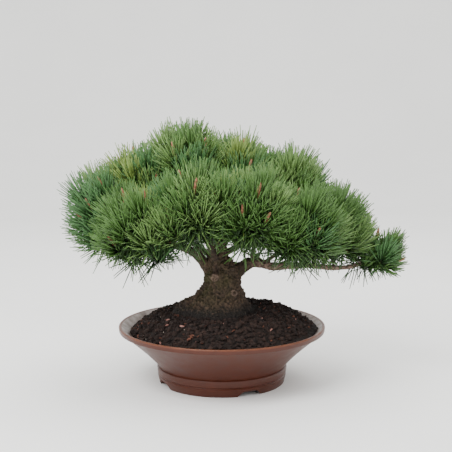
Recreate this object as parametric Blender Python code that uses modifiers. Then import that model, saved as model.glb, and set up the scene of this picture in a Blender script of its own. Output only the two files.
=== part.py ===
"""Mugo pine bonsai in a round brown pot: pot, soil, trunk, boughs and pads of needles.

Metres, +Z up. The sizes below are measured from the pot's axis at table level, and the
tree is seen from -Y, with its long bough reaching out to +X. At the end the whole plant
is moved so that the origin is on the table under the middle of its box.
"""

import math
import random
from collections import namedtuple

import bmesh
import bpy
import numpy as np
from mathutils import Matrix, Vector

MM = 0.001
SEATING_GAP = 0.3 * MM  # between a piece and the piece that carries it
SHARP_ANGLE = math.radians(40)  # edges that turn more than this are shaded sharp

# The pot is turned. It has a flared wall, a rolled lip and a banded foot with four cut-outs.
POT_HEIGHT = 81 * MM
RIM_RADIUS = 145 * MM
LIP_INNER_RADIUS = 141 * MM
LIP_HEIGHT = 7.5 * MM
LIP_OVERHANG = 4 * MM
EDGE_SOFTENING = 1.5 * MM
WALL_FOOT_RADIUS = 90 * MM
WALL_FLARE = 1.15
INNER_FLOOR_RADIUS = 80 * MM
INNER_FLOOR_HEIGHT = 14 * MM
INNER_FLARE = 1.3
BAND_TOP = 24 * MM
BAND_RADIUS = 91.7 * MM
FOOT_RADIUS = 88.5 * MM
GROOVE_HEIGHT = 12.5 * MM
GROOVE_DEPTH = 1.2 * MM
FOOT_RING_WIDTH = 9 * MM
RECESS_HEIGHT = 8 * MM
DRAIN_RADIUS = 10 * MM
POT_STEPS = 40
WALL_STEPS = 4
NOTCH_COUNT = 4
NOTCH_BEARING = math.radians(-90 + 25.7)
NOTCH_WIDTH = 36 * MM
NOTCH_TOP_WIDTH = 14 * MM
NOTCH_HEIGHT = 7.5 * MM
NOTCH_OVERRUN = 4 * MM

# The soil is heaped up from the wall to the trunk.
SOIL_EDGE_HEIGHT = 73 * MM
GROUND_HEIGHT = 100 * MM
MOUND_TOP_RADIUS = 74 * MM
MOUND_ROUNDNESS = 1.1
SOIL_OFF_WALL = 0.55 * MM  # more than the seating gap, because the facets of pot and soil differ
SOIL_STEPS = 32

# The trunk's centre line and radius: x, y, z, radius in millimetres, from just under its cut to its tip.
TRUNK_ROUTE = (
    (-3, 0, 92, 64),
    (-3, 0, 100, 57),
    (-2, 0, 108, 49),
    (-1, 0, 116, 40),
    (0, 0, 126, 33),
    (0.5, 0, 136, 28.5),
    (0.5, 0, 146, 26),
    (-0.5, 0, 157, 24.5),
    (-3, 0, 167, 19.5),
    (-5, 0, 178, 15),
    (-7, 1, 197, 13.3),
    (-11, 3, 225, 11),
    (-18, 4, 255, 8),
    (-27, 3, 280, 5),
)
TRUNK_BEVEL = 6
ROOT_RIDGES = 7
RIDGE_DEPTH = 0.07
RIDGE_TURN = 0.6
LEFT_ROOT = 0.16  # how much further the flare runs on the left than elsewhere
FLARE_TOP = 150 * MM
FLARE_FADE = 1.6

# The two low boughs, up to the point where each enters its pad.
LEFT_ROUTE = ((-5, 0, 138, 11), (-17, 0, 158, 10), (-33, -1, 178, 7.2), (-53, -3, 190.5, 6), (-80, -6, 197, 5))
RIGHT_ROUTE = (
    (8, 0, 140, 12),
    (24, 0, 158, 10.5),
    (40, -1, 169, 8.2),
    (56, -2, 167.5, 7.2),
    (72, -3, 163.5, 6.4),
    (95, -3, 164.5, 5.4),
    (120, -3, 165.5, 4.5),
    (150, -2, 162, 4),
    (182, -1, 163.5, 3.4),
)
BOUGH_TIP_RADIUS = 2.4 * MM
BOUGH_ROOT_SHARE = 0.5  # a hidden bough's radius at its root, as a share of what it grows from
THICKEST_HIDDEN_BOUGH = 5.5 * MM
ELBOW_SHARES = (0.55, 0.35)  # how far along and how high a hidden bough's elbow is
BOUGH_SPANS = 3
BOUGH_BEVEL = 1
SPAN_STEPS = 2  # pieces between two points of a route

# A pad's twigs fork inside a small core, and each ends in a spray of needles on the pad's outline.
CORE_SHARE = 0.32
PAD_ENTRY_SHARE = 0.5
CELL_MARGIN = 0.035
LIMB_MARGIN = 1.5 * MM
FORKS = 5
FORK_SHARE = 0.16
TWIG_RADIUS = 1.8 * MM
SPRAY_SIDES = 3
SPRAY_LENGTH = 34 * MM
LONGEST_SPRAY_SHARE = 0.62  # of the pad's least reach, on a small pad
SPRAY_LIFT = 0.55
SPRAY_JITTER = 0.18
COLLAR_HEIGHT = 5.5 * MM
COLLAR_RADII = (2.4 * MM, 3.0 * MM, 2.4 * MM)
NEEDLE_LENGTH = 38 * MM
SHORTEST_NEEDLE = 0.86
# Angles from the spray's axis at which a needle of each collar may stand, the widest first.
NEEDLE_ANGLES = (tuple(map(math.radians, (66, 54, 42, 30))), tuple(map(math.radians, (44, 34, 24, 15))))
OWN_SHARE = 0.9  # how near its own spray a needle stays, as a share of its distance to any other
GOLDEN_ANGLE = math.pi * (3 - math.sqrt(5))

Pad = namedtuple("Pad", "name centre reach sprays lowest seed")
Bough = namedtuple("Bough", "name parent share pad")
Limb = namedtuple("Limb", "name points radii")
Spray = namedtuple("Spray", "root base tip axis spin")

# Centre and reach in millimetres. lowest is how far down the pad's sprays go, from 1 at its top to -1.
PADS = (
    Pad("left_outer", (-163, -6, 243), (62, 76, 74), 32, -0.8, 11),
    Pad("left_front", (-112, -74, 230), (66, 64, 62), 28, -0.7, 12),
    Pad("left_back", (-106, 78, 244), (66, 64, 62), 26, -0.6, 13),
    Pad("left_upper", (-106, 4, 280), (62, 62, 56), 22, -0.1, 14),
    Pad("apex", (-47, 0, 308), (56, 64, 58), 24, -0.1, 15),
    Pad("apex_right", (20, 4, 292), (60, 64, 58), 24, -0.1, 16),
    Pad("front_left", (-36, -86, 256), (60, 54, 62), 28, -0.6, 17),
    Pad("front_right", (44, -86, 250), (62, 56, 60), 28, -0.6, 18),
    Pad("right_upper", (93, 2, 274), (62, 66, 56), 24, -0.1, 19),
    Pad("right_front", (112, -70, 230), (60, 58, 54), 28, -0.75, 20),
    Pad("right_outer", (152, -4, 226), (56, 62, 50), 28, -0.7, 21),
    Pad("right_back", (106, 76, 240), (64, 60, 58), 26, -0.6, 22),
    Pad("right_tip", (228, 0, 184), (38, 36, 32), 10, -0.95, 23),
    Pad("back_left", (-38, 92, 260), (62, 54, 60), 26, -0.6, 24),
    Pad("back_right", (40, 92, 254), (60, 56, 58), 26, -0.6, 25),
)

# Each hidden bough leaves its parent at that share of the parent's length and runs to its pad.
HIDDEN_BOUGHS = (
    Bough("left_front", "left", 0.62, "left_front"),
    Bough("left_back", "trunk", 0.60, "left_back"),
    Bough("left_upper", "trunk", 0.78, "left_upper"),
    Bough("apex_right", "trunk", 0.84, "apex_right"),
    Bough("front_left", "trunk", 0.56, "front_left"),
    Bough("front_right", "right", 0.24, "front_right"),
    Bough("right_upper", "trunk", 0.72, "right_upper"),
    Bough("right_front", "right", 0.33, "right_front"),
    Bough("right_outer", "right", 0.80, "right_outer"),
    Bough("right_back", "trunk", 0.64, "right_back"),
    Bough("back_left", "trunk", 0.70, "back_left"),
    Bough("back_right", "trunk", 0.66, "back_right"),
)


def clear_scene():
    """Empties the scene."""
    for obj in list(bpy.data.objects):
        bpy.data.objects.remove(obj)


def new_collection(name, hidden=False):
    """A collection in the scene; a hidden one holds cutters and is left out of renders."""
    made = bpy.data.collections.new(name)
    made.hide_render = hidden
    bpy.context.scene.collection.children.link(made)
    return made


def principled(name, colour, roughness, metallic=0.0):
    """A plain Principled material."""
    material = bpy.data.materials.new(name)
    material.use_nodes = True
    shader = material.node_tree.nodes["Principled BSDF"]
    shader.inputs["Base Color"].default_value = (*colour, 1.0)
    shader.inputs["Roughness"].default_value = roughness
    shader.inputs["Metallic"].default_value = metallic
    return material


def object_from_bmesh(name, bm, collection, material=None):
    """A mesh object made from bm, with its faces turned outwards."""
    bmesh.ops.recalc_face_normals(bm, faces=bm.faces)
    if bm.calc_volume(signed=True) < 0:
        bmesh.ops.reverse_faces(bm, faces=bm.faces)
    mesh = bpy.data.meshes.new(name)
    bm.to_mesh(mesh)
    bm.free()
    mesh.shade_smooth()
    mesh.set_sharp_from_angle(angle=SHARP_ANGLE)
    obj = bpy.data.objects.new(name, mesh)
    collection.objects.link(obj)
    if material:
        mesh.materials.append(material)
    return obj


def evaluated_mesh(obj):
    """The mesh of obj with its modifiers or its curve bevel applied."""
    graph = bpy.context.evaluated_depsgraph_get()
    return bpy.data.meshes.new_from_object(obj.evaluated_get(graph))


def apply_modifiers(obj):
    """Replaces the mesh of obj with its evaluated mesh."""
    material = obj.active_material
    mesh = evaluated_mesh(obj)
    obj.modifiers.clear()
    obj.data = mesh
    obj.data.materials.clear()
    obj.data.materials.append(material)


def turned(name, profile, steps, collection, material):
    """A solid turned about Z from a closed profile of (radius, height) points."""
    mesh = bpy.data.meshes.new(name)
    count = len(profile)
    edges = [(i, (i + 1) % count) for i in range(count)]
    mesh.from_pydata([(r, 0, z) for r, z in profile], edges, [])
    obj = bpy.data.objects.new(name, mesh)
    collection.objects.link(obj)
    mesh.materials.append(material)
    screw = obj.modifiers.new("turn", "SCREW")
    screw.steps = screw.render_steps = steps
    screw.use_merge_vertices = True
    screw.merge_threshold = 0.01 * MM
    return obj


def wall_radius(height):
    """Outer radius of the pot's flared wall at a height above the band."""
    share = (height - BAND_TOP) / (POT_HEIGHT - LIP_HEIGHT - BAND_TOP)
    return WALL_FOOT_RADIUS + (RIM_RADIUS - LIP_OVERHANG - WALL_FOOT_RADIUS) * share**WALL_FLARE


def inner_radius(height):
    """Inner radius of the pot at a height above its floor."""
    share = (height - INNER_FLOOR_HEIGHT) / (POT_HEIGHT - INNER_FLOOR_HEIGHT)
    return INNER_FLOOR_RADIUS + (LIP_INNER_RADIUS - INNER_FLOOR_RADIUS) * share**INNER_FLARE


def steps_between(low, high, count):
    """count + 1 evenly spaced values from low to high."""
    return [low + (high - low) * i / count for i in range(count + 1)]


def pot_profile():
    """The pot's section, down its outer side from the lip, under the foot and up the inside."""
    lip_foot = POT_HEIGHT - LIP_HEIGHT
    outer = [
        (LIP_INNER_RADIUS, POT_HEIGHT - 0.5 * MM),
        (RIM_RADIUS - 2 * EDGE_SOFTENING, POT_HEIGHT),
        (RIM_RADIUS, POT_HEIGHT - EDGE_SOFTENING),
        (RIM_RADIUS - 0.5 * MM, lip_foot + EDGE_SOFTENING),
        (RIM_RADIUS - EDGE_SOFTENING, lip_foot),
    ]
    outer += [(wall_radius(z), z) for z in steps_between(lip_foot - MM, BAND_TOP + MM, WALL_STEPS)]
    band = [
        (BAND_RADIUS - EDGE_SOFTENING, BAND_TOP),
        (BAND_RADIUS, BAND_TOP - EDGE_SOFTENING),
        (BAND_RADIUS - MM, GROOVE_HEIGHT + MM),
        (BAND_RADIUS - MM - GROOVE_DEPTH, GROOVE_HEIGHT),
        (BAND_RADIUS - MM, GROOVE_HEIGHT - MM),
        (FOOT_RADIUS, 0),
    ]
    ring = FOOT_RADIUS - FOOT_RING_WIDTH
    under = [(ring, 0), (ring - MM, RECESS_HEIGHT), (DRAIN_RADIUS, RECESS_HEIGHT)]
    inside = [(DRAIN_RADIUS, INNER_FLOOR_HEIGHT)]
    heights = steps_between(INNER_FLOOR_HEIGHT, POT_HEIGHT - LIP_OVERHANG, WALL_STEPS)
    inside += [(inner_radius(z), z) for z in heights]
    return outer + band + under + inside


def notch_cutter(bearing, collection):
    """A cutter for one cut-out of the foot: a low arch with sloping shoulders, across the ring."""
    half, top = NOTCH_WIDTH / 2, NOTCH_TOP_WIDTH / 2
    outline = [(-half, -MM), (half, -MM), (half, 0)]
    for share in steps_between(0, 1, 4)[1:]:
        outline.append((half + (top - half) * share, NOTCH_HEIGHT * math.sin(share * math.pi / 2)))
    outline += [(-x, z) for x, z in reversed(outline[2:])]
    bm = bmesh.new()
    inner = FOOT_RADIUS - FOOT_RING_WIDTH - NOTCH_OVERRUN
    near = bm.faces.new([bm.verts.new((x, inner, z)) for x, z in outline])
    grown = bmesh.ops.extrude_face_region(bm, geom=[near])
    moved = [v for v in grown["geom"] if isinstance(v, bmesh.types.BMVert)]
    bmesh.ops.translate(bm, verts=moved, vec=(0, FOOT_RING_WIDTH + 2 * NOTCH_OVERRUN, 0))
    bm.transform(Matrix.Rotation(bearing - math.pi / 2, 4, "Z"))
    cutter = object_from_bmesh("foot_cutter", bm, collection)
    cutter.hide_render = True
    cutter.display_type = "WIRE"
    return cutter


def make_pot(collection, cutters):
    """The pot, with its drain hole and the cut-outs that stand it on four feet."""
    clay = principled("brown_stoneware", (0.13, 0.042, 0.02), 0.45)
    pot = turned("pot", pot_profile(), POT_STEPS, collection, clay)
    for i in range(NOTCH_COUNT):
        cut = pot.modifiers.new("foot_cut", "BOOLEAN")
        cut.operation = "DIFFERENCE"
        cut.object = notch_cutter(NOTCH_BEARING + i * 2 * math.pi / NOTCH_COUNT, cutters)


def make_soil(collection):
    """The soil that fills the pot, heaped to a flat top for the trunk to stand on."""
    humus = principled("potting_soil", (0.018, 0.013, 0.011), 0.95)
    floor = INNER_FLOOR_HEIGHT + SEATING_GAP
    top = GROUND_HEIGHT - SEATING_GAP
    edge = inner_radius(SOIL_EDGE_HEIGHT) - SOIL_OFF_WALL
    profile = [(0, top)]
    for share in steps_between(0, 1, WALL_STEPS):
        rise = math.cos(share * math.pi / 2) ** MOUND_ROUNDNESS
        radius = MOUND_TOP_RADIUS + (edge - MOUND_TOP_RADIUS) * share
        profile.append((radius, SOIL_EDGE_HEIGHT + (top - SOIL_EDGE_HEIGHT) * rise))
    heights = steps_between(SOIL_EDGE_HEIGHT - 6 * MM, INNER_FLOOR_HEIGHT + 4 * MM, WALL_STEPS)
    profile += [(inner_radius(z) - SOIL_OFF_WALL, z) for z in heights]
    profile += [(INNER_FLOOR_RADIUS - SOIL_OFF_WALL, floor), (0, floor)]
    turned("soil", profile, SOIL_STEPS, collection, humus)


def smooth_route(route, steps=SPAN_STEPS):
    """A finer route in metres, on a smooth curve through (x, y, z, radius) points in millimetres."""
    rows = [np.array(row, float) * MM for row in route]
    rows = [2 * rows[0] - rows[1], *rows, 2 * rows[-1] - rows[-2]]
    fine = []
    for a, b, c, d in zip(rows, rows[1:], rows[2:], rows[3:]):
        for i in range(steps):
            t = i / steps
            bend = (2 * a - 5 * b + 4 * c - d) * t**2 + (3 * b - a - 3 * c + d) * t**3
            fine.append(b + 0.5 * ((c - a) * t + bend))
    fine.append(rows[-2])
    return Limb("", [Vector(row[:3]) for row in fine], [row[3] for row in fine])


def limb_at(limb, share):
    """(point, radius) at a share of the limb's number of pieces, counted from its root."""
    place = share * (len(limb.points) - 1)
    i = min(int(place), len(limb.points) - 2)
    t = place - i
    point = limb.points[i].lerp(limb.points[i + 1], t)
    return point, limb.radii[i] * (1 - t) + limb.radii[i + 1] * t


def pad_named(name):
    """The pad of that name."""
    return next(pad for pad in PADS if pad.name == name)


def pad_entry(pad, start):
    """Where a limb that comes from start enters the pad: short of the centre by a share of its reach."""
    centre = Vector(pad.centre) * MM
    towards = (start - centre).normalized()
    span = Vector([reach * MM * part for reach, part in zip(pad.reach, towards)])
    return centre + span * PAD_ENTRY_SHARE


def with_pad_tip(limb_name, route, pad_name):
    """A listed route carried on to where it enters its pad."""
    limb = smooth_route(route)
    tip = pad_entry(pad_named(pad_name), limb.points[-1]) / MM
    return smooth_route((*route, (*tip, BOUGH_TIP_RADIUS / MM)))._replace(name=limb_name)


def hidden_bough(bough, limbs):
    """A bough that leaves its parent, runs out level and turns up a little into its pad."""
    start, parent_radius = limb_at(limbs[bough.parent], bough.share)
    tip = pad_entry(pad_named(bough.pad), start)
    root_radius = min(parent_radius * BOUGH_ROOT_SHARE, THICKEST_HIDDEN_BOUGH)
    level = Vector((tip.x - start.x, tip.y - start.y, 0))
    elbow = start + level * ELBOW_SHARES[0] + Vector((0, 0, (tip.z - start.z) * ELBOW_SHARES[1]))
    route = []
    for share in steps_between(0, 1, BOUGH_SPANS):
        point = start * (1 - share) ** 2 + elbow * 2 * share * (1 - share) + tip * share**2
        radius = root_radius + (BOUGH_TIP_RADIUS - root_radius) * share
        route.append((*(point / MM), radius / MM))
    return smooth_route(route)._replace(name=bough.name)


def plan_limbs():
    """Every limb by name: the trunk, the two low boughs and the boughs hidden by needles."""
    limbs = {"trunk": with_pad_tip("trunk", TRUNK_ROUTE, "apex")}
    limbs["left"] = with_pad_tip("left", LEFT_ROUTE, "left_outer")
    limbs["right"] = with_pad_tip("right", RIGHT_ROUTE, "right_tip")
    for bough in HIDDEN_BOUGHS:
        limbs[bough.name] = hidden_bough(bough, limbs)
    return limbs


def limb_object(name, limb, bevel, collection, material):
    """A limb as a mesh: a bevelled curve with a radius at each point, its caps welded on."""
    curve = bpy.data.curves.new(name + "_line", "CURVE")
    curve.dimensions = "3D"
    curve.twist_mode = "MINIMUM"
    curve.bevel_depth = 1.0
    curve.bevel_resolution = bevel
    curve.use_fill_caps = True
    spline = curve.splines.new("POLY")
    spline.points.add(len(limb.points) - 1)
    for i, (point, radius) in enumerate(zip(limb.points, limb.radii)):
        spline.points[i].co = (*point, 1)
        spline.points[i].radius = radius
    line = bpy.data.objects.new(name + "_line", curve)
    bpy.context.scene.collection.objects.link(line)
    bm = bmesh.new()
    mesh = evaluated_mesh(line)
    bm.from_mesh(mesh)
    bmesh.ops.remove_doubles(bm, verts=bm.verts, dist=0.01 * MM)
    bpy.data.objects.remove(line)
    bpy.data.meshes.remove(mesh)
    return object_from_bmesh(name, bm, collection, material)


def cut_at_ground(trunk):
    """Cuts the trunk flat at the height where it stands on the soil."""
    bm = bmesh.new()
    bm.from_mesh(trunk.data)
    geometry = [*bm.verts, *bm.edges, *bm.faces]
    ground = Vector((0, 0, GROUND_HEIGHT))
    bmesh.ops.bisect_plane(bm, geom=geometry, plane_co=ground, plane_no=(0, 0, 1), clear_inner=True)
    bmesh.ops.holes_fill(bm, edges=[edge for edge in bm.edges if edge.is_boundary])
    bm.to_mesh(trunk.data)
    bm.free()


def shape_root_flare(trunk):
    """Presses ridges into the foot of the trunk and runs the flare out further on the left."""
    axis_x = TRUNK_ROUTE[0][0] * MM
    for vertex in trunk.data.vertices:
        height = (vertex.co.z - GROUND_HEIGHT) / (FLARE_TOP - GROUND_HEIGHT)
        fade = max(0.0, 1 - height) ** FLARE_FADE
        bearing = math.atan2(vertex.co.y, vertex.co.x - axis_x)
        ridges = RIDGE_DEPTH * math.cos(ROOT_RIDGES * bearing + RIDGE_TURN)
        left = LEFT_ROOT * max(0.0, -math.cos(bearing)) ** 2
        scale = 1 + fade * (ridges + left)
        vertex.co.x = axis_x + (vertex.co.x - axis_x) * scale
        vertex.co.y *= scale
    trunk.data.update()


def stood_off(obj, gap, collection):
    """A cutter: a copy of obj with its surface moved out by gap."""
    bm = bmesh.new()
    bm.from_mesh(obj.data)
    bm.normal_update()
    shifts = [(v, v.normal * gap * v.calc_shell_factor()) for v in bm.verts]
    for vertex, shift in shifts:
        vertex.co += shift
    cutter = object_from_bmesh(obj.name + "_cutter", bm, collection)
    cutter.hide_render = True
    cutter.display_type = "WIRE"
    return cutter


def make_limbs(limbs, collection, cutters):
    """The trunk and boughs. Each bough is cut clear of the limb that it grows from."""
    bark = principled("pine_bark", (0.05, 0.035, 0.02), 0.9)
    trunk = limb_object("trunk", limbs["trunk"], TRUNK_BEVEL, collection, bark)
    shape_root_flare(trunk)
    cut_at_ground(trunk)
    made = {"trunk": trunk}
    parents = {"left": "trunk", "right": "trunk"}
    parents.update({bough.name: bough.parent for bough in HIDDEN_BOUGHS})
    stand_offs = {}
    for name, parent in parents.items():
        if parent not in stand_offs:
            stand_offs[parent] = stood_off(made[parent], SEATING_GAP, cutters)
        bevel = BOUGH_BEVEL + (name in ("left", "right"))
        made[name] = limb_object("bough_" + name, limbs[name], bevel, collection, bark)
        cut = made[name].modifiers.new("root_cut", "BOOLEAN")
        cut.operation = "DIFFERENCE"
        cut.object = stand_offs[parent]
        apply_modifiers(made[name])
        keep_largest(made[name])


def keep_largest(obj):
    """Keeps the largest shell of a mesh, counted by faces that share an edge, and drops loose scraps."""
    bm = bmesh.new()
    bm.from_mesh(obj.data)
    unseen = set(bm.faces)
    shells = []
    while unseen:
        shell, waiting = [], [unseen.pop()]
        while waiting:
            face = waiting.pop()
            shell.append(face)
            for edge in face.edges:
                for other in edge.link_faces:
                    if other in unseen:
                        unseen.remove(other)
                        waiting.append(other)
        shells.append(shell)
    shells.sort(key=len)
    for scrap in shells[:-1]:
        bmesh.ops.delete(bm, geom=scrap, context="FACES")
    bm.to_mesh(obj.data)
    bm.free()


def golden_direction(index, count, lowest):
    """Direction number index of count, spread evenly from straight up down to lowest."""
    up = 1 - (index + 0.5) / count * (1 - lowest)
    level = math.sqrt(max(0.0, 1 - up * up))
    bearing = index * GOLDEN_ANGLE
    return Vector((level * math.cos(bearing), level * math.sin(bearing), up))


def pad_depth(pad, point):
    """0 at the pad's centre and 1 on its outline."""
    parts = [(p / MM - c) / r for p, c, r in zip(point, pad.centre, pad.reach)]
    return math.sqrt(sum(part * part for part in parts))


def room_ahead(pad, start, course):
    """How far it is from start, in the direction course, to the pad's outline."""
    a = b = c = 0
    for begin, step, centre, reach in zip(start, course, pad.centre, pad.reach):
        place, pace = (begin / MM - centre) / reach, step / MM / reach
        a += pace * pace
        b += place * pace
        c += place * place
    return (math.sqrt(max(0, b * b - a * (c - 1))) - b) / a


def in_own_space(pad, point):
    """True where the pad is the nearest one, with a margin to its neighbours."""
    own = pad_depth(pad, point) * (1 + CELL_MARGIN) + CELL_MARGIN / 2
    return all(own < pad_depth(other, point) for other in PADS if other is not pad)


def pad_sprays(pad):
    """The pad's sprays by its seeded rule: twigs fork near the centre and end in sprays on the outline."""
    rng = random.Random(pad.seed)
    centre = Vector(pad.centre) * MM
    reach = Vector(pad.reach) * MM
    length = min(SPRAY_LENGTH, min(reach) * LONGEST_SPRAY_SHARE)
    forks = [centre + reach * FORK_SHARE * golden_direction(i, FORKS, -0.6) for i in range(FORKS)]
    sprays = []
    for i in range(pad.sprays):
        out = golden_direction(i, pad.sprays, pad.lowest)
        jitter = Vector([rng.uniform(-1, 1) * SPRAY_JITTER for _ in range(3)])
        spin = rng.uniform(0, 2 * math.pi)
        normal = Vector([part / r for part, r in zip(out, reach)]).normalized()
        tip = centre + Vector([part * r for part, r in zip(out, reach)])
        axis = (normal + Vector((0, 0, SPRAY_LIFT)) * (0.5 + 0.5 * out.z) + jitter).normalized()
        base = tip - axis * length
        root = min(forks, key=lambda fork: (fork - base).length)
        if in_own_space(pad, tip) and in_own_space(pad, base):
            sprays.append(Spray(root, base, tip, axis, spin))
    return sprays


def off_axis(spray, point):
    """How far a point is from the spray's own line."""
    along = min(max((point - spray.base).dot(spray.axis), 0), (spray.tip - spray.base).length)
    return (point - spray.base - spray.axis * along).length


def by_own_spray(spray, sprays, point):
    """True where the point is clearly nearer to its own spray than to any other."""
    own = off_axis(spray, point)
    return all(own < OWN_SHARE * off_axis(other, point) for other in sprays if other is not spray)


class LimbField:
    """Tells how far points are from the bark of all the limbs."""

    def __init__(self, limbs):
        starts, ends, radii = [], [], []
        for limb in limbs.values():
            for i in range(len(limb.points) - 1):
                starts.append(limb.points[i])
                ends.append(limb.points[i + 1])
                radii.append(max(limb.radii[i], limb.radii[i + 1]))
        self.starts = np.array(starts)
        self.runs = np.array(ends) - self.starts
        self.lengths = (self.runs**2).sum(1)
        self.radii = np.array(radii)

    def clears(self, a, b):
        """True if the straight piece from a to b stays off every limb."""
        for t in steps_between(0, 1, 6):
            offset = np.array(a.lerp(b, t)) - self.starts
            along = np.clip((offset * self.runs).sum(1) / self.lengths, 0, 1)
            gap = np.linalg.norm(offset - along[:, None] * self.runs, axis=1) - self.radii
            if gap.min() < LIMB_MARGIN:
                return False
        return True


def spray_core(spray):
    """The slim core of a spray, on its twig, and the faces of its two collars and its end."""
    bm = bmesh.new()
    bmesh.ops.create_cone(
        bm,
        cap_ends=True,
        segments=SPRAY_SIDES,
        radius1=TWIG_RADIUS,
        radius2=COLLAR_RADII[0],
        depth=2 * COLLAR_HEIGHT,
    )
    twig_foot = [v for v in bm.verts if v.co.z < 0]
    bmesh.ops.translate(bm, verts=bm.verts, vec=(0, 0, -COLLAR_HEIGHT))
    end = max(bm.faces, key=lambda face: face.calc_center_median().z)
    collars = []
    for below, above in zip(COLLAR_RADII, COLLAR_RADII[1:]):
        collars.append(bmesh.ops.inset_individual(bm, faces=[end], thickness=0, depth=COLLAR_HEIGHT)["faces"])
        bmesh.ops.scale(bm, verts=end.verts, vec=(above / below, above / below, 1))
    turn = spray.axis.to_track_quat("Z", "Y").to_matrix().to_4x4() @ Matrix.Rotation(spray.spin, 4, "Z")
    for vertex in bm.verts:
        if vertex in twig_foot:
            vertex.co.z = 0
            vertex.co = spray.root + turn @ vertex.co
        else:
            vertex.co = spray.base + turn @ vertex.co
    return bm, collars, end


def grow_needle(bm, face, tip):
    """Draws a needle out of a face of the spray's core."""
    bmesh.ops.poke(bm, faces=[face])["verts"][0].co = tip


def grow_spray(spray, pad, sprays, field, rng):
    """A whole spray. A needle turns in towards its spray until it is clear, or is left out."""
    bm, collars, end = spray_core(spray)
    for faces, angles in zip(collars, NEEDLE_ANGLES):
        for face in faces:
            foot = face.calc_center_median()
            outward = foot - spray.base
            outward = (outward - spray.axis * outward.dot(spray.axis)).normalized()
            length = NEEDLE_LENGTH * rng.uniform(SHORTEST_NEEDLE, 1)
            for angle in angles:
                course = outward * math.sin(angle) + spray.axis * math.cos(angle)
                tip = foot + course * min(length, room_ahead(pad, foot, course))
                middle = foot.lerp(tip, 0.5)
                own = by_own_spray(spray, sprays, tip) and by_own_spray(spray, sprays, middle)
                if own and in_own_space(pad, tip) and field.clears(foot, tip):
                    grow_needle(bm, face, tip)
                    break
    grow_needle(bm, end, spray.tip)
    return bm


def pad_stem(pad, limb, collection):
    """The pad's stem: it faces the tip of its limb across the seating gap and runs into the core."""
    tip = limb.points[-1]
    course = (tip - limb.points[-2]).normalized()
    start = tip + course * SEATING_GAP
    middle = start.lerp(Vector(pad.centre) * MM, 0.5)
    end = Vector(pad.centre) * MM
    stem = Limb("stem", [start, start + course * 2 * MM, middle, end], [limb.radii[-1]] * 3 + [TWIG_RADIUS / 2])
    return limb_object("stem", stem, BOUGH_BEVEL, collection, None)


def pad_core(pad, name, collection, material):
    """The small round core that the pad's sprays stand out of."""
    bm = bmesh.new()
    bmesh.ops.create_icosphere(bm, subdivisions=2, radius=1)
    span = Vector(pad.reach) * MM * CORE_SHARE
    bmesh.ops.scale(bm, verts=bm.verts, vec=span)
    bmesh.ops.translate(bm, verts=bm.verts, vec=Vector(pad.centre) * MM)
    return object_from_bmesh(name, bm, collection, material)


def make_pad(pad, limb, field, collection, material):
    """One pad of needles, its stem, core and sprays joined into a single solid."""
    rng = random.Random(pad.seed + 1000)
    loose = new_collection("loose_" + pad.name)
    needles = pad_core(pad, "needles_" + pad.name, collection, material)
    pad_stem(pad, limb, loose)
    sprays = [spray for spray in pad_sprays(pad) if field.clears(spray.base, spray.tip)]
    for spray in sprays:
        object_from_bmesh("spray", grow_spray(spray, pad, sprays, field, rng), loose)
    join = needles.modifiers.new("join", "BOOLEAN")
    join.operation = "UNION"
    join.operand_type = "COLLECTION"
    join.collection = loose
    apply_modifiers(needles)
    for obj in list(loose.objects):
        bpy.data.objects.remove(obj)
    bpy.data.collections.remove(loose)
    keep_largest(needles)


def make_pads(limbs, collection):
    """All the pads of needles, each on the limb that carries it."""
    green = principled("pine_needles", (0.06, 0.13, 0.035), 0.55)
    carriers = {"left_outer": "left", "apex": "trunk", "right_tip": "right"}
    carriers.update({bough.pad: bough.name for bough in HIDDEN_BOUGHS})
    field = LimbField(limbs)
    for pad in PADS:
        make_pad(pad, limbs[carriers[pad.name]], field, collection, green)


def centre_on_box(parts, cutters):
    """Parents the plant to an empty and moves that, so the origin is under the middle of the plant's box."""
    corners = []
    graph = bpy.context.evaluated_depsgraph_get()
    for obj in parts.objects:
        corners += [Vector(corner) for corner in obj.evaluated_get(graph).bound_box]
    middle = [(min(c[i] for c in corners) + max(c[i] for c in corners)) / 2 for i in range(2)]
    stand = bpy.data.objects.new("plant_stand", None)
    bpy.context.scene.collection.objects.link(stand)
    stand.location = (-middle[0], -middle[1], 0)
    for obj in [*parts.objects, *cutters.objects]:
        obj.parent = stand


def main():
    """Builds the tree and its pot."""
    clear_scene()
    tree = new_collection("mugo_pine_bonsai")
    cutters = new_collection("cutters", hidden=True)
    make_pot(tree, cutters)
    make_soil(tree)
    limbs = plan_limbs()
    make_limbs(limbs, tree, cutters)
    make_pads(limbs, tree)
    centre_on_box(tree, cutters)


main()
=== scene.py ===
"""The looks of a mugo pine bonsai: stoneware pot, potting soil, flaky bark and shoots of needles.

Sizes are real ones in millimetres from the pot's axis at table level, as in the part's source,
and the tree is seen from -Y with its long bough reaching out to +X.
"""

import logging
import math
import random
from dataclasses import dataclass
from enum import Enum

import bmesh
import bpy
import numpy as np
from mathutils import Matrix, Vector, noise


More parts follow.
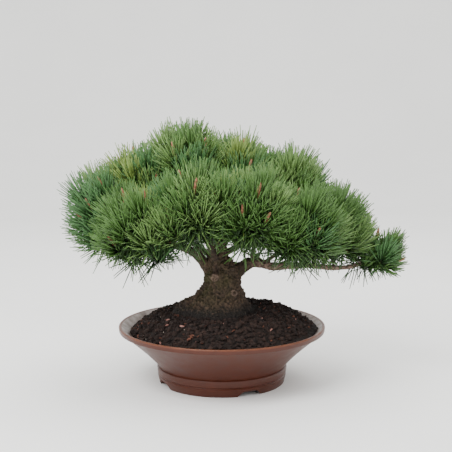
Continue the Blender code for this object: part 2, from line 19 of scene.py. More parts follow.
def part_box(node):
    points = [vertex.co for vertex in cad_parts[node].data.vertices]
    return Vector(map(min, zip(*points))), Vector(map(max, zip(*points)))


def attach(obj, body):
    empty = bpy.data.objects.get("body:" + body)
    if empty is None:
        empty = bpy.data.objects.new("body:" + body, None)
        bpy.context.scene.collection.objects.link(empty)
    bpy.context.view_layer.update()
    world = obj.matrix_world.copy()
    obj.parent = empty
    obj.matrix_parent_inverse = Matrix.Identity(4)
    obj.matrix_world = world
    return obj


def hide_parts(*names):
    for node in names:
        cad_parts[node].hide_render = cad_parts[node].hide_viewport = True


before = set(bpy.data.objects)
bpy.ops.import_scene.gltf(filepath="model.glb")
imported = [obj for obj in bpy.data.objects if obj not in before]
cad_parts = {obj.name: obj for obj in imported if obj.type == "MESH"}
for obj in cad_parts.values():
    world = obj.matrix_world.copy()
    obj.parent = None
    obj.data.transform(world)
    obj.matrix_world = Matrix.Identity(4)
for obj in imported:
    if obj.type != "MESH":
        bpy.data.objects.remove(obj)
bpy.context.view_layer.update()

log = logging.getLogger("bonsai")

MM = 0.001
GOLDEN_ANGLE = math.pi * (3 - math.sqrt(5))
POT_LOW, POT_HIGH = (Vector(corner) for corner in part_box("pot"))
POT_AXIS = Vector(((POT_LOW.x + POT_HIGH.x) / 2, (POT_LOW.y + POT_HIGH.y) / 2, 0))


def linear(hex_colour: str) -> tuple[float, float, float, float]:
    """Turn an sRGB hex colour into the linear one that the shaders take.

    Args:
        hex_colour: The colour as "#rrggbb".

    Returns:
        Linear red, green, blue and an alpha of 1.
    """
    channels = [int(hex_colour[i : i + 2], 16) / 255 for i in (1, 3, 5)]
    flat = [c / 12.92 if c <= 0.04045 else ((c + 0.055) / 1.055) ** 2.4 for c in channels]
    return (flat[0], flat[1], flat[2], 1.0)


def add_node(
    tree: bpy.types.NodeTree,
    kind: str,
    settings: dict[str | int, object] | None = None,
    links: dict[str | int, bpy.types.NodeSocket] | None = None,
    output: str | int = 0,
) -> bpy.types.NodeSocket:
    """Add a shader node with its settings and its incoming links.

    Args:
        tree: The node tree of the material.
        kind: The node's type name after its first part, ShaderNode.
        settings: Values by property name, or by the name or number of an input.
        links: Sockets of other nodes by the name or number of the input that they feed.
        output: Name or number of the output that is wanted.

    Returns:
        That output of the new node.
    """
    node = tree.nodes.new("ShaderNode" + kind)
    for key, value in (settings or {}).items():
        if isinstance(key, str) and hasattr(node, key):
            setattr(node, key, value)
        else:
            node.inputs[key].default_value = value
    for key, socket in (links or {}).items():
        tree.links.new(socket, node.inputs[key])
    return node.outputs[output]


def new_material(name: str) -> tuple[bpy.types.Material, bpy.types.NodeTree, bpy.types.NodeSocket]:
    """Start a material.

    Args:
        name: The material's name.

    Returns:
        The material, its node tree, and the socket that tells a pattern its place on the object.
    """
    material = bpy.data.materials.new(name)
    material.use_nodes = True
    tree = material.node_tree
    return material, tree, add_node(tree, "TexCoord", output="Object")


def set_surface(
    tree: bpy.types.NodeTree,
    colour: bpy.types.NodeSocket,
    roughness: float | bpy.types.NodeSocket,
    specular: float,
    normal: bpy.types.NodeSocket | None = None,
) -> None:
    """Feed a material's Principled shader.

    Args:
        tree: The node tree of the material.
        colour: Where the base colour comes from.
        roughness: The roughness, or where it comes from.
        specular: The specular level.
        normal: Where a bumped normal comes from, if the surface has one.
    """
    inputs = tree.nodes["Principled BSDF"].inputs
    inputs["Specular IOR Level"].default_value = specular
    for name, value in (("Base Color", colour), ("Roughness", roughness), ("Normal", normal)):
        if isinstance(value, float):
            inputs[name].default_value = value
        elif value is not None:
            tree.links.new(value, inputs[name])


def at(x: float, y: float, z: float) -> Vector:
    """Return the point of the frame that lies x, y, z millimetres from the pot's axis."""
    return POT_AXIS + Vector((x, y, z)) * MM


def steps_between(low: float, high: float, count: int) -> list[float]:
    """Return count + 1 evenly spaced values from low to high."""
    return [low + (high - low) * i / count for i in range(count + 1)]


@dataclass(frozen=True)
class BrownStoneware:
    """Unglazed stoneware, press moulded, burnished and fired: an even satin brown with faint mottling."""

    name: str = "brown_stoneware"
    clay: str = "#4d2212"
    iron: str = "#38160a"
    rubbed_and_highlit: str = "#965c3c"
    mottle: float = 16 * MM
    grit: float = 1.2 * MM  # drawn coarser than the real clay's grit, which is too fine to show
    rubbed_and_highlit_depth: float = 3 * MM  # how far down from the rim the clay is lighter, rubbed by hands and with a painted highlight
    rubbed_and_highlit_share: float = 0.55
    roughness: float = 0.36
    specular: float = 0.32

    def material(self) -> bpy.types.Material:
        """Return the clay, darker in soft patches and lighter at the rim, rubbed by hands and with a painted
        highlight.
        """
        material, tree, place = new_material(self.name)
        patches = add_node(tree, "TexNoise", {"Scale": 1 / self.mottle, "Detail": 4.0}, {"Vector": place})
        grit = add_node(tree, "TexNoise", {"Scale": 1 / self.grit, "Detail": 3.0}, {"Vector": place})
        body = add_node(
            tree, "Mix", {"data_type": "RGBA", 6: linear(self.iron), 7: linear(self.clay)}, {0: patches}, 2
        )
        height = add_node(tree, "SeparateXYZ", {}, {0: place}, "Z")
        # The rim's lighter band is partly rubbed by hands and partly a painted highlight along the lip.
        lip = {"From Min": POT_HIGH.z - self.rubbed_and_highlit_depth, "From Max": POT_HIGH.z, "To Max": self.rubbed_and_highlit_share}
        rim = add_node(tree, "MapRange", lip, {"Value": height})
        rubbed_and_highlit = add_node(tree, "Math", {"operation": "MULTIPLY"}, {0: rim, 1: patches})
        colour = add_node(tree, "Mix", {"data_type": "RGBA", 7: linear(self.rubbed_and_highlit)}, {0: rubbed_and_highlit, 6: body}, 2)
        gloss_range = {"To Min": self.roughness - 0.08, "To Max": self.roughness + 0.14}
        gloss = add_node(tree, "MapRange", gloss_range, {"Value": patches})
        bump = add_node(tree, "Bump", {"Strength": 0.25, "Distance": 0.25 * MM}, {"Height": grit})
        set_surface(tree, colour, gloss, self.specular, bump)
        return material


@dataclass(frozen=True)
class Humus:
    """Moist potting soil: near black brown crumbs, dull all over, with a fine broken grain."""

    name: str
    dark: str
    light: str
    crumb: float
    roughness: float = 0.95
    specular: float = 0.3

    def material(self) -> bpy.types.Material:
        """Return the soil, its colour broken up crumb by crumb."""
        material, tree, place = new_material(self.name)
        crumbs = add_node(tree, "TexVoronoi", {"Scale": 1 / self.crumb}, {"Vector": place}, "Color")
        dust = add_node(tree, "TexNoise", {"Scale": 2 / self.crumb, "Detail": 6.0}, {"Vector": place})
        cell = add_node(tree, "SeparateColor", {}, {0: crumbs})
        share = add_node(tree, "Math", {"operation": "MULTIPLY"}, {0: cell, 1: dust})
        colour = add_node(
            tree, "Mix", {"data_type": "RGBA", 6: linear(self.dark), 7: linear(self.light)}, {0: share}, 2
        )
        bump = add_node(tree, "Bump", {"Strength": 0.8, "Distance": 0.8 * MM}, {"Height": dust})
        set_surface(tree, colour, self.roughness, self.specular, bump)
        return material


@dataclass(frozen=True)
class PineBark:
    """Old pine bark: dark plates over deep cracks, with moss on the shaded side, pale on young wood."""

    crack: str = "#0f0b08"
    plate: str = "#4b3929"
    moss: str = "#3a3a18"
    pale: str = "#937b6b"
    pale_crack: str = "#40302a"
    flake: float = 1.8 * MM
    patch: float = 22 * MM
    roughness: float = 0.88
    specular: float = 0.5

    def material(self) -> bpy.types.Material:
        """Return the bark. Its attributes relief, moss and pale say where each look falls."""
        material, tree, place = new_material("pine_bark")
        relief, mossy, young = (
            add_node(tree, "Attribute", {"attribute_name": name}, {}, "Fac")
            for name in ("relief", "moss", "pale")
        )
        broken = {"Scale": 1 / self.flake, "Detail": 6.0, "Roughness": 0.65}
        flakes = add_node(tree, "TexNoise", broken, {"Vector": place})
        patches = add_node(tree, "TexNoise", {"Scale": 1 / self.patch, "Detail": 5.0}, {"Vector": place})
        depth = add_node(tree, "Math", {"operation": "MULTIPLY_ADD", 1: 0.6}, {0: flakes, 2: relief})
        share = add_node(tree, "MapRange", {"From Min": 0.35, "From Max": 1.3}, {"Value": depth})
        old, light = (
            add_node(tree, "Mix", {"data_type": "RGBA", 6: linear(low), 7: linear(high)}, {0: share}, 2)
            for low, high in ((self.crack, self.plate), (self.pale_crack, self.pale))
        )
        wood = add_node(tree, "Mix", {"data_type": "RGBA"}, {0: young, 6: old, 7: light}, 2)
        grown = add_node(tree, "MapRange", {"From Min": 0.42, "From Max": 0.6}, {"Value": patches})
        cover = add_node(tree, "Math", {"operation": "MULTIPLY"}, {0: grown, 1: mossy})
        colour = add_node(tree, "Mix", {"data_type": "RGBA", 7: linear(self.moss)}, {0: cover, 6: wood}, 2)
        bump = add_node(tree, "Bump", {"Strength": 0.7, "Distance": 0.7 * MM}, {"Height": flakes})
        set_surface(tree, colour, self.roughness, self.specular, bump)
        return material


@dataclass(frozen=True)
class Speckled:
    """A plain natural surface of two near colours in a fine pattern, such as twig bark or chips."""

    name: str
    first: str
    second: str
    grain: float
    roughness: float
    specular: float

    def material(self) -> bpy.types.Material:
        """Return the surface, its two colours mixed by a soft noise of the given grain."""
        material, tree, place = new_material(self.name)
        spots = add_node(tree, "TexNoise", {"Scale": 1 / self.grain, "Detail": 2.0}, {"Vector": place})
        share = add_node(tree, "MapRange", {"From Min": 0.35, "From Max": 0.65}, {"Value": spots})
        colour = add_node(
            tree, "Mix", {"data_type": "RGBA", 6: linear(self.first), 7: linear(self.second)}, {0: share}, 2
        )
        set_surface(tree, colour, self.roughness, self.specular)
        return material


@dataclass(frozen=True)
class NeedleSkin:
    """Pine needle: a waxy skin with a soft gloss, darker towards its base as painted shade deep in the
    brush, lighter towards its tip.
    """

    name: str
    shaded_base: str
    tip: str
    grain: float = 9 * MM  # a quarter of a needle's length
    roughness: float = 0.42
    specular: float = 0.35

    def material(self) -> bpy.types.Material:
        """Return the skin. Its attribute along says how far out on the needle a place lies."""
        material, tree, place = new_material(self.name)
        along = add_node(tree, "Attribute", {"attribute_name": "along"}, {}, "Fac")
        spots = add_node(tree, "TexNoise", {"Scale": 1 / self.grain, "Detail": 2.0}, {"Vector": place})
        # Darker towards the needle's base: painted shade deep in the brush.
        light = add_node(tree, "Math", {"operation": "MULTIPLY_ADD", 1: 0.8}, {0: along, 2: spots})
        share = add_node(tree, "MapRange", {"From Min": 0.35, "From Max": 1.25}, {"Value": light})
        colour = add_node(
            tree, "Mix", {"data_type": "RGBA", 6: linear(self.shaded_base), 7: linear(self.tip)}, {0: share}, 2
        )
        set_surface(tree, colour, self.roughness, self.specular)
        return material


class Green(Enum):
    """The greens of the needles, dealt out by shoot."""

    MID = "mid"
    BLUE = "blue"
    LIGHT = "light"
    YOUNG = "young"
    SHADE = "shade"


# Each finish: its name, the base green darkened as painted shade, and the tip green.
NEEDLE_FINISHES = {
    Green.MID: NeedleSkin("needle_mid_green", "#14260b", "#4a6d30"),
    Green.BLUE: NeedleSkin("needle_blue_green", "#12260f", "#426a38"),
    Green.LIGHT: NeedleSkin("needle_light_green", "#1e3110", "#668546"),
    Green.YOUNG: NeedleSkin("needle_young_green", "#263710", "#748b42"),
    Green.SHADE: NeedleSkin("needle_shade_green", "#0d1a08", "#2e4a20"),
}
TWIG_FINISH = Speckled("twig_bark", "#4a3426", "#7a5c46", 4 * MM, 0.85, 0.2)
CANDLE_FINISH = Speckled("candle_scales", "#6b3a2a", "#b07a60", 5 * MM, 0.6, 0.3)
SOIL_FINISH = Humus("potting_soil", "#100b09", "#2c201a", 3.5 * MM)
CRUMB_FINISH = Humus("soil_crumbs", "#140d0b", "#3d2c25", 6 * MM)
CHIP_FINISH = Speckled("pine_bark_chips", "#3b241e", "#6b4436", 6 * MM, 0.85, 0.2)
FLAKE_FINISH = Speckled("pink_bark_flakes", "#7a4a44", "#a07a70", 5 * MM, 0.85, 0.2)
GRIT_FINISH = Speckled("pale_grit", "#8a7c70", "#c8bcae", 3 * MM, 0.8, 0.3)
# The inner wall's pale grey: lime and a painted sheen.
LIME_AND_SHEEN_FINISH = Speckled("stoneware_lime_and_sheen", "#6f5d55", "#9a8d87", 11 * MM, 0.42, 0.5)
FLOOR_FINISH = Speckled("pale_floor", "#f0f0ee", "#f3f3f1", 300 * MM, 0.75, 0.2)


def add_object(name: str, data: bpy.types.ID) -> bpy.types.Object:
    """Return a new object of the scene that holds a mesh, curve, light or camera."""
    obj = bpy.data.objects.new(name, data)
    bpy.context.scene.collection.objects.link(obj)
    return obj


def mesh_from_triangles(name: str, points: np.ndarray, triangles: np.ndarray) -> bpy.types.Object:
    """Make an object from arrays, smooth shaded.

    Args:
        name: The piece's name.
        points: Vertices, one row each, in metres.
        triangles: Vertex numbers, three a row.

    Returns:
        The object, linked to the scene.
    """
    mesh = bpy.data.meshes.new(name)
    mesh.vertices.add(len(points))
    mesh.vertices.foreach_set("co", points.astype(np.float32).ravel())
    mesh.loops.add(3 * len(triangles))
    mesh.loops.foreach_set("vertex_index", triangles.astype(np.int32).ravel())
    mesh.polygons.add(len(triangles))
    mesh.polygons.foreach_set("loop_start", np.arange(0, 3 * len(triangles), 3, dtype=np.int32))
    mesh.update(calc_edges=True)
    mesh.shade_smooth()
    return add_object(name, mesh)


def dress(obj: bpy.types.Object, material: bpy.types.Material, nodes: list[str]) -> None:
    """Give a piece its material, attach it to the root body and hide the parts that it stands for.

    Args:
        obj: The piece.
        material: Its material.
        nodes: The nodes that the piece replaces, if any.
    """
    obj.data.materials.clear()
    obj.data.materials.append(material)
    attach(obj, "root")
    if nodes:
        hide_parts(*nodes)
    log.info("%s: %d faces", obj.name, len(obj.data.polygons))


def add_ring(radius: float, height: float, segments: int, fill: str) -> bpy.types.Object:
    """Start a turned piece: a circle about the pot's axis, left in edit mode.

    Args:
        radius: The circle's radius in metres.
        height: Its height in metres.
        segments: Its number of vertices.
        fill: NOTHING for an open ring or NGON for a disc.

    Returns:
        The new object.
    """
    bpy.ops.object.select_all(action="DESELECT")
    bpy.ops.mesh.primitive_circle_add(
        vertices=segments, radius=radius, fill_type=fill, location=(POT_AXIS.x, POT_AXIS.y, height)
    )
    bpy.ops.object.transform_apply(location=True, rotation=False, scale=False)
    bpy.ops.object.mode_set(mode="EDIT")
    bpy.ops.mesh.select_all(action="SELECT")
    return bpy.context.object


def draw_rings(stations: list[tuple[float, float]]) -> None:
    """Extrude the selected ring from station to station.

    Args:
        stations: Radius and height of each ring, the first being the ring that is there.
    """
    for (radius, height), (next_radius, next_height) in zip(stations, stations[1:]):
        rise = {"value": (0, 0, next_height - height)}
        bpy.ops.mesh.extrude_region_move(TRANSFORM_OT_translate=rise)
        scale = next_radius / radius
        middle = (POT_AXIS.x, POT_AXIS.y, next_height)
        bpy.ops.transform.resize(value=(scale, scale, 1), center_override=middle)


@dataclass
class Pot:
    """The turned pot: flared wall, rolled lip, banded foot with four cut-outs and a drain hole."""

    height: float = 81 * MM
    rim: float = 145 * MM
    lip_inner: float = 141 * MM
    lip_height: float = 7.5 * MM
    lip_overhang: float = 4 * MM
    lip_fall: float = 0.6 * MM
    lip_taper: float = 0.4 * MM
    softening: float = 1.6 * MM
    ledge_softening: float = 2.4 * MM
    wall_foot: float = 89.6 * MM
    wall_flare: float = 1.2
    floor_radius: float = 80 * MM
    floor_height: float = 14 * MM
    inner_flare: float = 1.3
    band_top: float = 24 * MM
    band: float = 91.7 * MM
    foot: float = 88.5 * MM
    groove_height: float = 12.5 * MM
    groove_depth: float = 1.2 * MM
    groove_half: float = 1.4 * MM
    groove_shoulder: float = 0.9 * MM
    foot_bevel: float = 1.2 * MM
    ring_width: float = 9 * MM
    recess: float = 8 * MM
    lime_and_sheen_from: float = 39 * MM  # above this height the inner wall is pale grey, with lime and a painted sheen
    drain: float = 10 * MM
    notches: int = 4
    notch_bearing: float = math.radians(-90 + 25.7)
    notch_width: float = 36 * MM
    notch_top: float = 14 * MM
    notch_height: float = 7.5 * MM
    cutter_spare: float = 4 * MM
    segments: int = 160

    def wall_radius(self, height: float) -> float:
        """Return the outer radius of the flared wall at a height."""
        share = (height - self.band_top) / (self.height - self.lip_height - self.band_top)
        return self.wall_foot + (self.rim - self.lip_overhang - self.wall_foot) * share**self.wall_flare

    def inner_radius(self, height: float) -> float:
        """Return the inner radius at a height above the floor."""
        share = (height - self.floor_height) / (self.height - self.floor_height)
        return self.floor_radius + (self.lip_inner - self.floor_radius) * share**self.inner_flare

    def rounded(
        self, radius: float, height: float, turns: list[float], ray: float | None = None
    ) -> list[tuple[float, float]]:
        """Return points of a rounded edge.

        Args:
            radius: Radius of the pot at the centre of the rounding.
            height: Height of that centre.
            turns: Angles in degrees, 0 pointing outwards and 90 up.
            ray: Radius of the rounding, the pot's usual softening if left out.

        Returns:
            Radius and height of each point.
        """
        ray = ray or self.softening
        angles = [math.radians(turn) for turn in turns]
        return [(radius + ray * math.cos(a), height + ray * math.sin(a)) for a in angles]

    def stations(self) -> list[tuple[float, float]]:
        """Return the section: over the lip, down the outside, under the foot and up the inside."""
        soft, lip_foot = self.softening, self.height - self.lip_height
        section = [(self.lip_inner, self.height - self.lip_fall)]
        section += self.rounded(self.rim - soft, self.height - soft, [90, 60, 30, 0])
        section += self.rounded(self.rim - self.lip_taper - soft, lip_foot + soft, [0, -30, -60, -90])
        rise = steps_between(lip_foot, self.band_top + MM, 12)
        section += [(self.wall_radius(z), z) for z in rise]
        ledge = self.ledge_softening
        section += self.rounded(self.band - ledge, self.band_top - ledge, [80, 60, 40, 20, 0], ledge)
        face = self.band - MM
        groove = self.groove_height
        half_deep, shoulder = face - 0.5 * self.groove_depth, self.groove_shoulder
        section += [(face, groove + self.groove_half), (half_deep, groove + shoulder)]
        section += [(face - self.groove_depth, groove), (half_deep, groove - shoulder)]
        section += [(face, groove - self.groove_half)]
        section += [(self.foot, self.foot_bevel), (self.foot - self.foot_bevel, 0)]
        ring = self.foot - self.ring_width
        section += [(ring, 0), (ring - MM, self.recess), (self.drain, self.recess)]
        section += [(self.drain, self.floor_height)]
        rise = steps_between(self.floor_height, self.height - self.lip_overhang, 10)
        section += [(self.inner_radius(z), z) for z in rise]
        return section

    def notch_cutter(self, bearing: float) -> bpy.types.Object:
        """Model the cutter of one cut-out of the foot, a low arch with sloping shoulders.

        Args:
            bearing: Direction of the cut-out from the axis, in radians.

        Returns:
            The cutter, a box whose upper edge is stepped to the arch.
        """
        outline = [(-self.notch_width / 2, -MM), (self.notch_width / 2, -MM)]
        half, top = self.notch_width / 2, self.notch_top / 2
        shoulder = []
        for share in steps_between(0, 1, 8):
            shoulder.append((half + (top - half) * share, self.notch_height * math.sin(share * math.pi / 2)))
        outline += shoulder + [(-x, z) for x, z in reversed(shoulder)]
        inner = self.foot - self.ring_width - self.cutter_spare
        bm = bmesh.new()
        near = bm.faces.new([bm.verts.new((x, inner, z)) for x, z in outline])
        grown = bmesh.ops.extrude_face_region(bm, geom=[near])["geom"]
        far = [v for v in grown if isinstance(v, bmesh.types.BMVert)]
        bmesh.ops.translate(bm, verts=far, vec=(0, self.ring_width + 2 * self.cutter_spare, 0))
        bm.transform(Matrix.Translation(POT_AXIS) @ Matrix.Rotation(bearing - math.pi / 2, 4, "Z"))
        bmesh.ops.recalc_face_normals(bm, faces=bm.faces)
        if bm.calc_volume(signed=True) < 0:
            bmesh.ops.reverse_faces(bm, faces=bm.faces)
        mesh = bpy.data.meshes.new("foot_cutter")
        bm.to_mesh(mesh)
        bm.free()
        return add_object("foot_cutter", mesh)

    def build(self) -> None:
        """Turn the pot, cut its feet and dress it."""
        stations = self.stations()
        pot = add_ring(*stations[0], self.segments, "NOTHING")
        pot.name = "stoneware_pot"
        draw_rings(stations)
        bpy.ops.mesh.select_mode(type="EDGE")
        bpy.ops.mesh.select_all(action="DESELECT")
        bpy.ops.mesh.select_non_manifold(
            extend=False, use_wire=False, use_multi_face=False, use_non_contiguous=False, use_verts=False
        )
        bpy.ops.mesh.bridge_edge_loops()
        bpy.ops.mesh.select_all(action="SELECT")
        bpy.ops.mesh.normals_make_consistent(inside=False)
        bpy.ops.object.mode_set(mode="OBJECT")
        for i in range(self.notches):
            cutter = self.notch_cutter(self.notch_bearing + i * 2 * math.pi / self.notches)
            cut = pot.modifiers.new("foot_cut", "BOOLEAN")
            cut.object = cutter
            bpy.context.view_layer.objects.active = pot
            bpy.ops.object.modifier_apply(modifier=cut.name)
            bpy.data.objects.remove(cutter)
        bpy.ops.object.shade_smooth_by_angle(angle=math.radians(35))
        dress(pot, BrownStoneware().material(), ["pot"])
        # The inner wall above the soil takes the pale grey of lime and a painted sheen.
        pot.data.materials.append(LIME_AND_SHEEN_FINISH.material())
        for face in pot.data.polygons:
            radius = (face.center - POT_AXIS).xy.length
            upper = face.center.z > self.lime_and_sheen_from
            if upper and radius < self.inner_radius(min(face.center.z, self.height)) + 1.5 * MM:
                face.material_index = 1


@dataclass
class Soil:
    """The heaped soil with its crumbs, chips of bark and grit."""

    pot: Pot
    edge_height: float = 73 * MM
    ground: float = 100 * MM
    top_radius: float = 74 * MM
    roundness: float = 1.1
    off_wall: float = 0.9 * MM
    floor: float = 14.3 * MM
    segments: int = 240
    lump: float = 9 * MM
    lump_rise: float = 2.6 * MM
    tilt: float = 0.028  # the soil lies a little lower on the left than on the right
    wall_blend: float = 6 * MM  # over this width the top is drawn out to the sloping wall
    bare: float = 57 * MM  # nothing is scattered nearer to the axis, where the trunk stands
    off_edge: float = 5 * MM
    roughness: tuple[float, float] = (0.7, 1.25)
    tipping: float = 0.45
    lying: float = 0.4  # how high a lump's middle lies on the mound, in half thicknesses
    # What lies on it: piece, count, half sizes of a middle lump, how far sizes vary, and finish.
    scattered: tuple[tuple[str, int, tuple[float, float, float], float, Humus | Speckled], ...] = (
        ("soil_crumbs", 3400, (2.6 * MM, 2.1 * MM, 1.8 * MM), 2.1, CRUMB_FINISH),
        ("bark_chips", 150, (3.2 * MM, 2.2 * MM, 0.9 * MM), 1.9, CHIP_FINISH),
        ("pink_bark_flakes", 60, (2.6 * MM, 1.6 * MM, 0.7 * MM), 1.8, FLAKE_FINISH),
        ("pale_grit", 90, (1.0 * MM, 0.8 * MM, 0.7 * MM), 1.6, GRIT_FINISH),
    )
    seed: int = 5

    def height_at(self, radius: float) -> float:
        """Return the height of the mound at a distance from the axis, without its lumps."""
        edge = self.pot.inner_radius(self.edge_height) - self.off_wall
        share = min(max((radius - self.top_radius) / (edge - self.top_radius), 0), 1)
        rise = math.cos(share * math.pi / 2) ** self.roundness
        return self.edge_height + (self.ground - 0.3 * MM - self.edge_height) * rise

    def lump_at(self, place: Vector) -> float:
        """Return how far the soil's lumps and its tilt lift or sink the mound at a place."""
        coarse = noise.fractal(Vector((place.x, place.y, 0)) / self.lump, 0.6, 2.0, 4)
        return self.lump_rise * (coarse - 0.2) + self.tilt * (place.x - POT_AXIS.x)

    def mound(self) -> bpy.types.Object:
        """Model the body of soil up to its lumpy top.

        Returns:
            The soil object.
        """
        edge = self.pot.inner_radius(self.edge_height) - self.off_wall
        stations = [(self.pot.floor_radius - self.off_wall, self.floor)]
        for height in steps_between(self.floor + 4 * MM, self.edge_height - 3 * MM, 8):
            stations.append((self.pot.inner_radius(height) - self.off_wall, height))
        for radius in steps_between(edge, 4 * MM, 62):
            stations.append((radius, self.height_at(radius)))
        soil = add_ring(*stations[0], self.segments, "NGON")
        soil.name = "potting_soil"
        draw_rings(stations)
        bpy.ops.object.mode_set(mode="OBJECT")
        for vertex in soil.data.vertices:
            radius = (vertex.co - POT_AXIS).xy.length
            if vertex.co.z > self.edge_height - MM:
                vertex.co.z += self.lump_at(vertex.co)
                wall = self.pot.inner_radius(vertex.co.z) - self.off_wall
                if radius > edge - self.wall_blend:
                    scale = 1 + (wall / edge - 1) * (1 - (edge - radius) / self.wall_blend)
                    vertex.co.x = POT_AXIS.x + (vertex.co.x - POT_AXIS.x) * scale
                    vertex.co.y = POT_AXIS.y + (vertex.co.y - POT_AXIS.y) * scale
        bpy.ops.object.shade_smooth_by_angle(angle=math.radians(60))
        return soil

    def scatter(
        self, name: str, count: int, size: tuple[float, float, float], spread: float
    ) -> bpy.types.Object:
        """Lay many small lumps on the mound, joined in one piece.

        Args:
            name: The piece's name.
            count: How many lumps.
            size: Half length, width and thickness of a lump of middle size, in metres.
            spread: How much larger or smaller a lump may be, as a factor.

        Returns:
            The joined object.
        """
        rng = random.Random(self.seed + count)
        bpy.ops.object.select_all(action="DESELECT")
        bpy.ops.mesh.primitive_ico_sphere_add(subdivisions=1, radius=1)
        pattern = bpy.context.object
        corners = np.array([vertex.co[:] for vertex in pattern.data.vertices])
        faces = np.array([face.vertices[:] for face in pattern.data.polygons])
        bpy.data.objects.remove(pattern)
        outer = self.pot.inner_radius(self.edge_height) - self.off_edge
        points, triangles = [], []
        for i in range(count):
            radius = math.sqrt(rng.uniform(self.bare**2, outer**2))
            bearing = rng.uniform(0, 2 * math.pi)
            place = POT_AXIS + Vector((radius * math.cos(bearing), radius * math.sin(bearing), 0))
            place.z = self.height_at(radius)
            place.z += self.lump_at(place)
            scale = math.exp(rng.uniform(-1, 1) * math.log(spread))
            rough = np.array([[rng.uniform(*self.roughness) for _ in range(3)] for _ in corners])
            turn = Matrix.Rotation(rng.uniform(0, 6.28), 3, "Z")
            for axis in "XY":
                turn = turn @ Matrix.Rotation(rng.gauss(0, self.tipping), 3, axis)
            shaped = (corners * rough * np.array(size) * scale) @ np.array(turn).T
            points.append(shaped + np.array(place + Vector((0, 0, size[2] * self.lying))))
            triangles.append(faces + i * len(corners))
        obj = mesh_from_triangles(name, np.concatenate(points), np.concatenate(triangles))
        obj.data.shade_flat()
        return obj

    def build(self) -> None:
        """Model the soil and what lies on it, and dress them."""
        dress(self.mound(), SOIL_FINISH.material(), ["soil"])
        for name, count, size, spread, finish in self.scattered:
            dress(self.scatter(name, count, size, spread), finish.material(), [])


@dataclass(frozen=True)
class Pad:
    """One mass of foliage: its centre and reach in millimetres, and its rule's numbers."""

    name: str
    centre: tuple[float, float, float]
    reach: tuple[float, float, float]
    sprays: int
    lowest: float
    seed: int

    def depth(self, point: Vector) -> float:
        """Return 0 at the pad's centre and 1 on its outline."""
        place = (point - POT_AXIS) / MM
        parts = [(p - c) / r for p, c, r in zip(place, self.centre, self.reach)]
        return math.sqrt(sum(part * part for part in parts))

    def entry(self, start: Vector) -> Vector:
        """Return where a limb that comes from start enters the pad."""
        centre = at(*self.centre)
        towards = (start - centre).normalized()
        span = Vector([reach * MM * part for reach, part in zip(self.reach, towards)])
        return centre + span * 0.5


PADS = (
    Pad("left_outer", (-163, -6, 243), (62, 76, 74), 32, -0.8, 11),
    Pad("left_front", (-112, -74, 230), (66, 64, 62), 28, -0.7, 12),
    Pad("left_back", (-106, 78, 244), (66, 64, 62), 26, -0.6, 13),
    Pad("left_upper", (-106, 4, 280), (62, 62, 56), 22, -0.1, 14),
    Pad("apex", (-47, 0, 308), (56, 64, 58), 24, -0.1, 15),
    Pad("apex_right", (20, 4, 292), (60, 64, 58), 24, -0.1, 16),
    Pad("front_left", (-36, -86, 256), (60, 54, 62), 28, -0.6, 17),
    Pad("front_right", (44, -86, 250), (62, 56, 60), 28, -0.6, 18),
    Pad("right_upper", (93, 2, 274), (62, 66, 56), 24, -0.1, 19),
    Pad("right_front", (112, -70, 230), (60, 58, 54), 28, -0.75, 20),
    Pad("right_outer", (152, -4, 226), (56, 62, 50), 28, -0.7, 21),
    Pad("right_back", (106, 76, 240), (64, 60, 58), 26, -0.6, 22),
    Pad("right_tip", (228, 0, 184), (38, 36, 32), 10, -0.95, 23),
    Pad("back_left", (-38, 92, 260), (62, 54, 60), 26, -0.6, 24),
    Pad("back_right", (40, 92, 254), (60, 56, 58), 26, -0.6, 25),
)
PAD_NAMED = {pad.name: pad for pad in PADS}

# Each hidden bough: its name and pad, the limb that it leaves, and at what share of that limb.
HIDDEN_BOUGHS = (
    ("left_front", "left", 0.62),
    ("left_back", "trunk", 0.60),
    ("left_upper", "trunk", 0.78),
    ("apex_right", "trunk", 0.84),
    ("front_left", "trunk", 0.56),
    ("front_right", "right", 0.24),
    ("right_upper", "trunk", 0.72),
    ("right_front", "right", 0.33),
    ("right_outer", "right", 0.80),
    ("right_back", "trunk", 0.64),
    ("back_left", "trunk", 0.70),
    ("back_right", "trunk", 0.66),
)


# Scars of cut boughs on the front of the trunk: x, z, radius and depth in millimetres.
KNOTS = ((-10, 152, 4.2, 22.5), (17, 131, 3.6, 29))


@dataclass
class Limb:
    """A limb's centre line in metres, with a radius at each point."""

    points: list[Vector]
    radii: list[float]

    def at_share(self, share: float) -> tuple[Vector, float]:
        """Return the point and radius at a share of the limb's pieces, counted from its root."""
        place = share * (len(self.points) - 1)
        i = min(int(place), len(self.points) - 2)
        t = place - i
        point = self.points[i].lerp(self.points[i + 1], t)
        return point, self.radii[i] * (1 - t) + self.radii[i + 1] * t


def smooth_limb(route: list[tuple[float, ...]], steps: int) -> Limb:
    """Draw a smooth curve through a limb's route.

    Args:
        route: x, y, z and radius in millimetres from the pot's axis.
        steps: Pieces between two points of the route.

    Returns:
        The limb in the frame.
    """
    rows = [np.array(row, float) * MM for row in route]
    rows = [2 * rows[0] - rows[1], *rows, 2 * rows[-1] - rows[-2]]
    fine = []
    for a, b, c, d in zip(rows, rows[1:], rows[2:], rows[3:]):
        for i in range(steps):
            t = i / steps
            bend = (2 * a - 5 * b + 4 * c - d) * t**2 + (3 * b - a - 3 * c + d) * t**3
            fine.append(b + 0.5 * ((c - a) * t + bend))
    fine.append(rows[-2])
    return Limb([POT_AXIS + Vector(row[:3]) for row in fine], [float(row[3]) for row in fine])


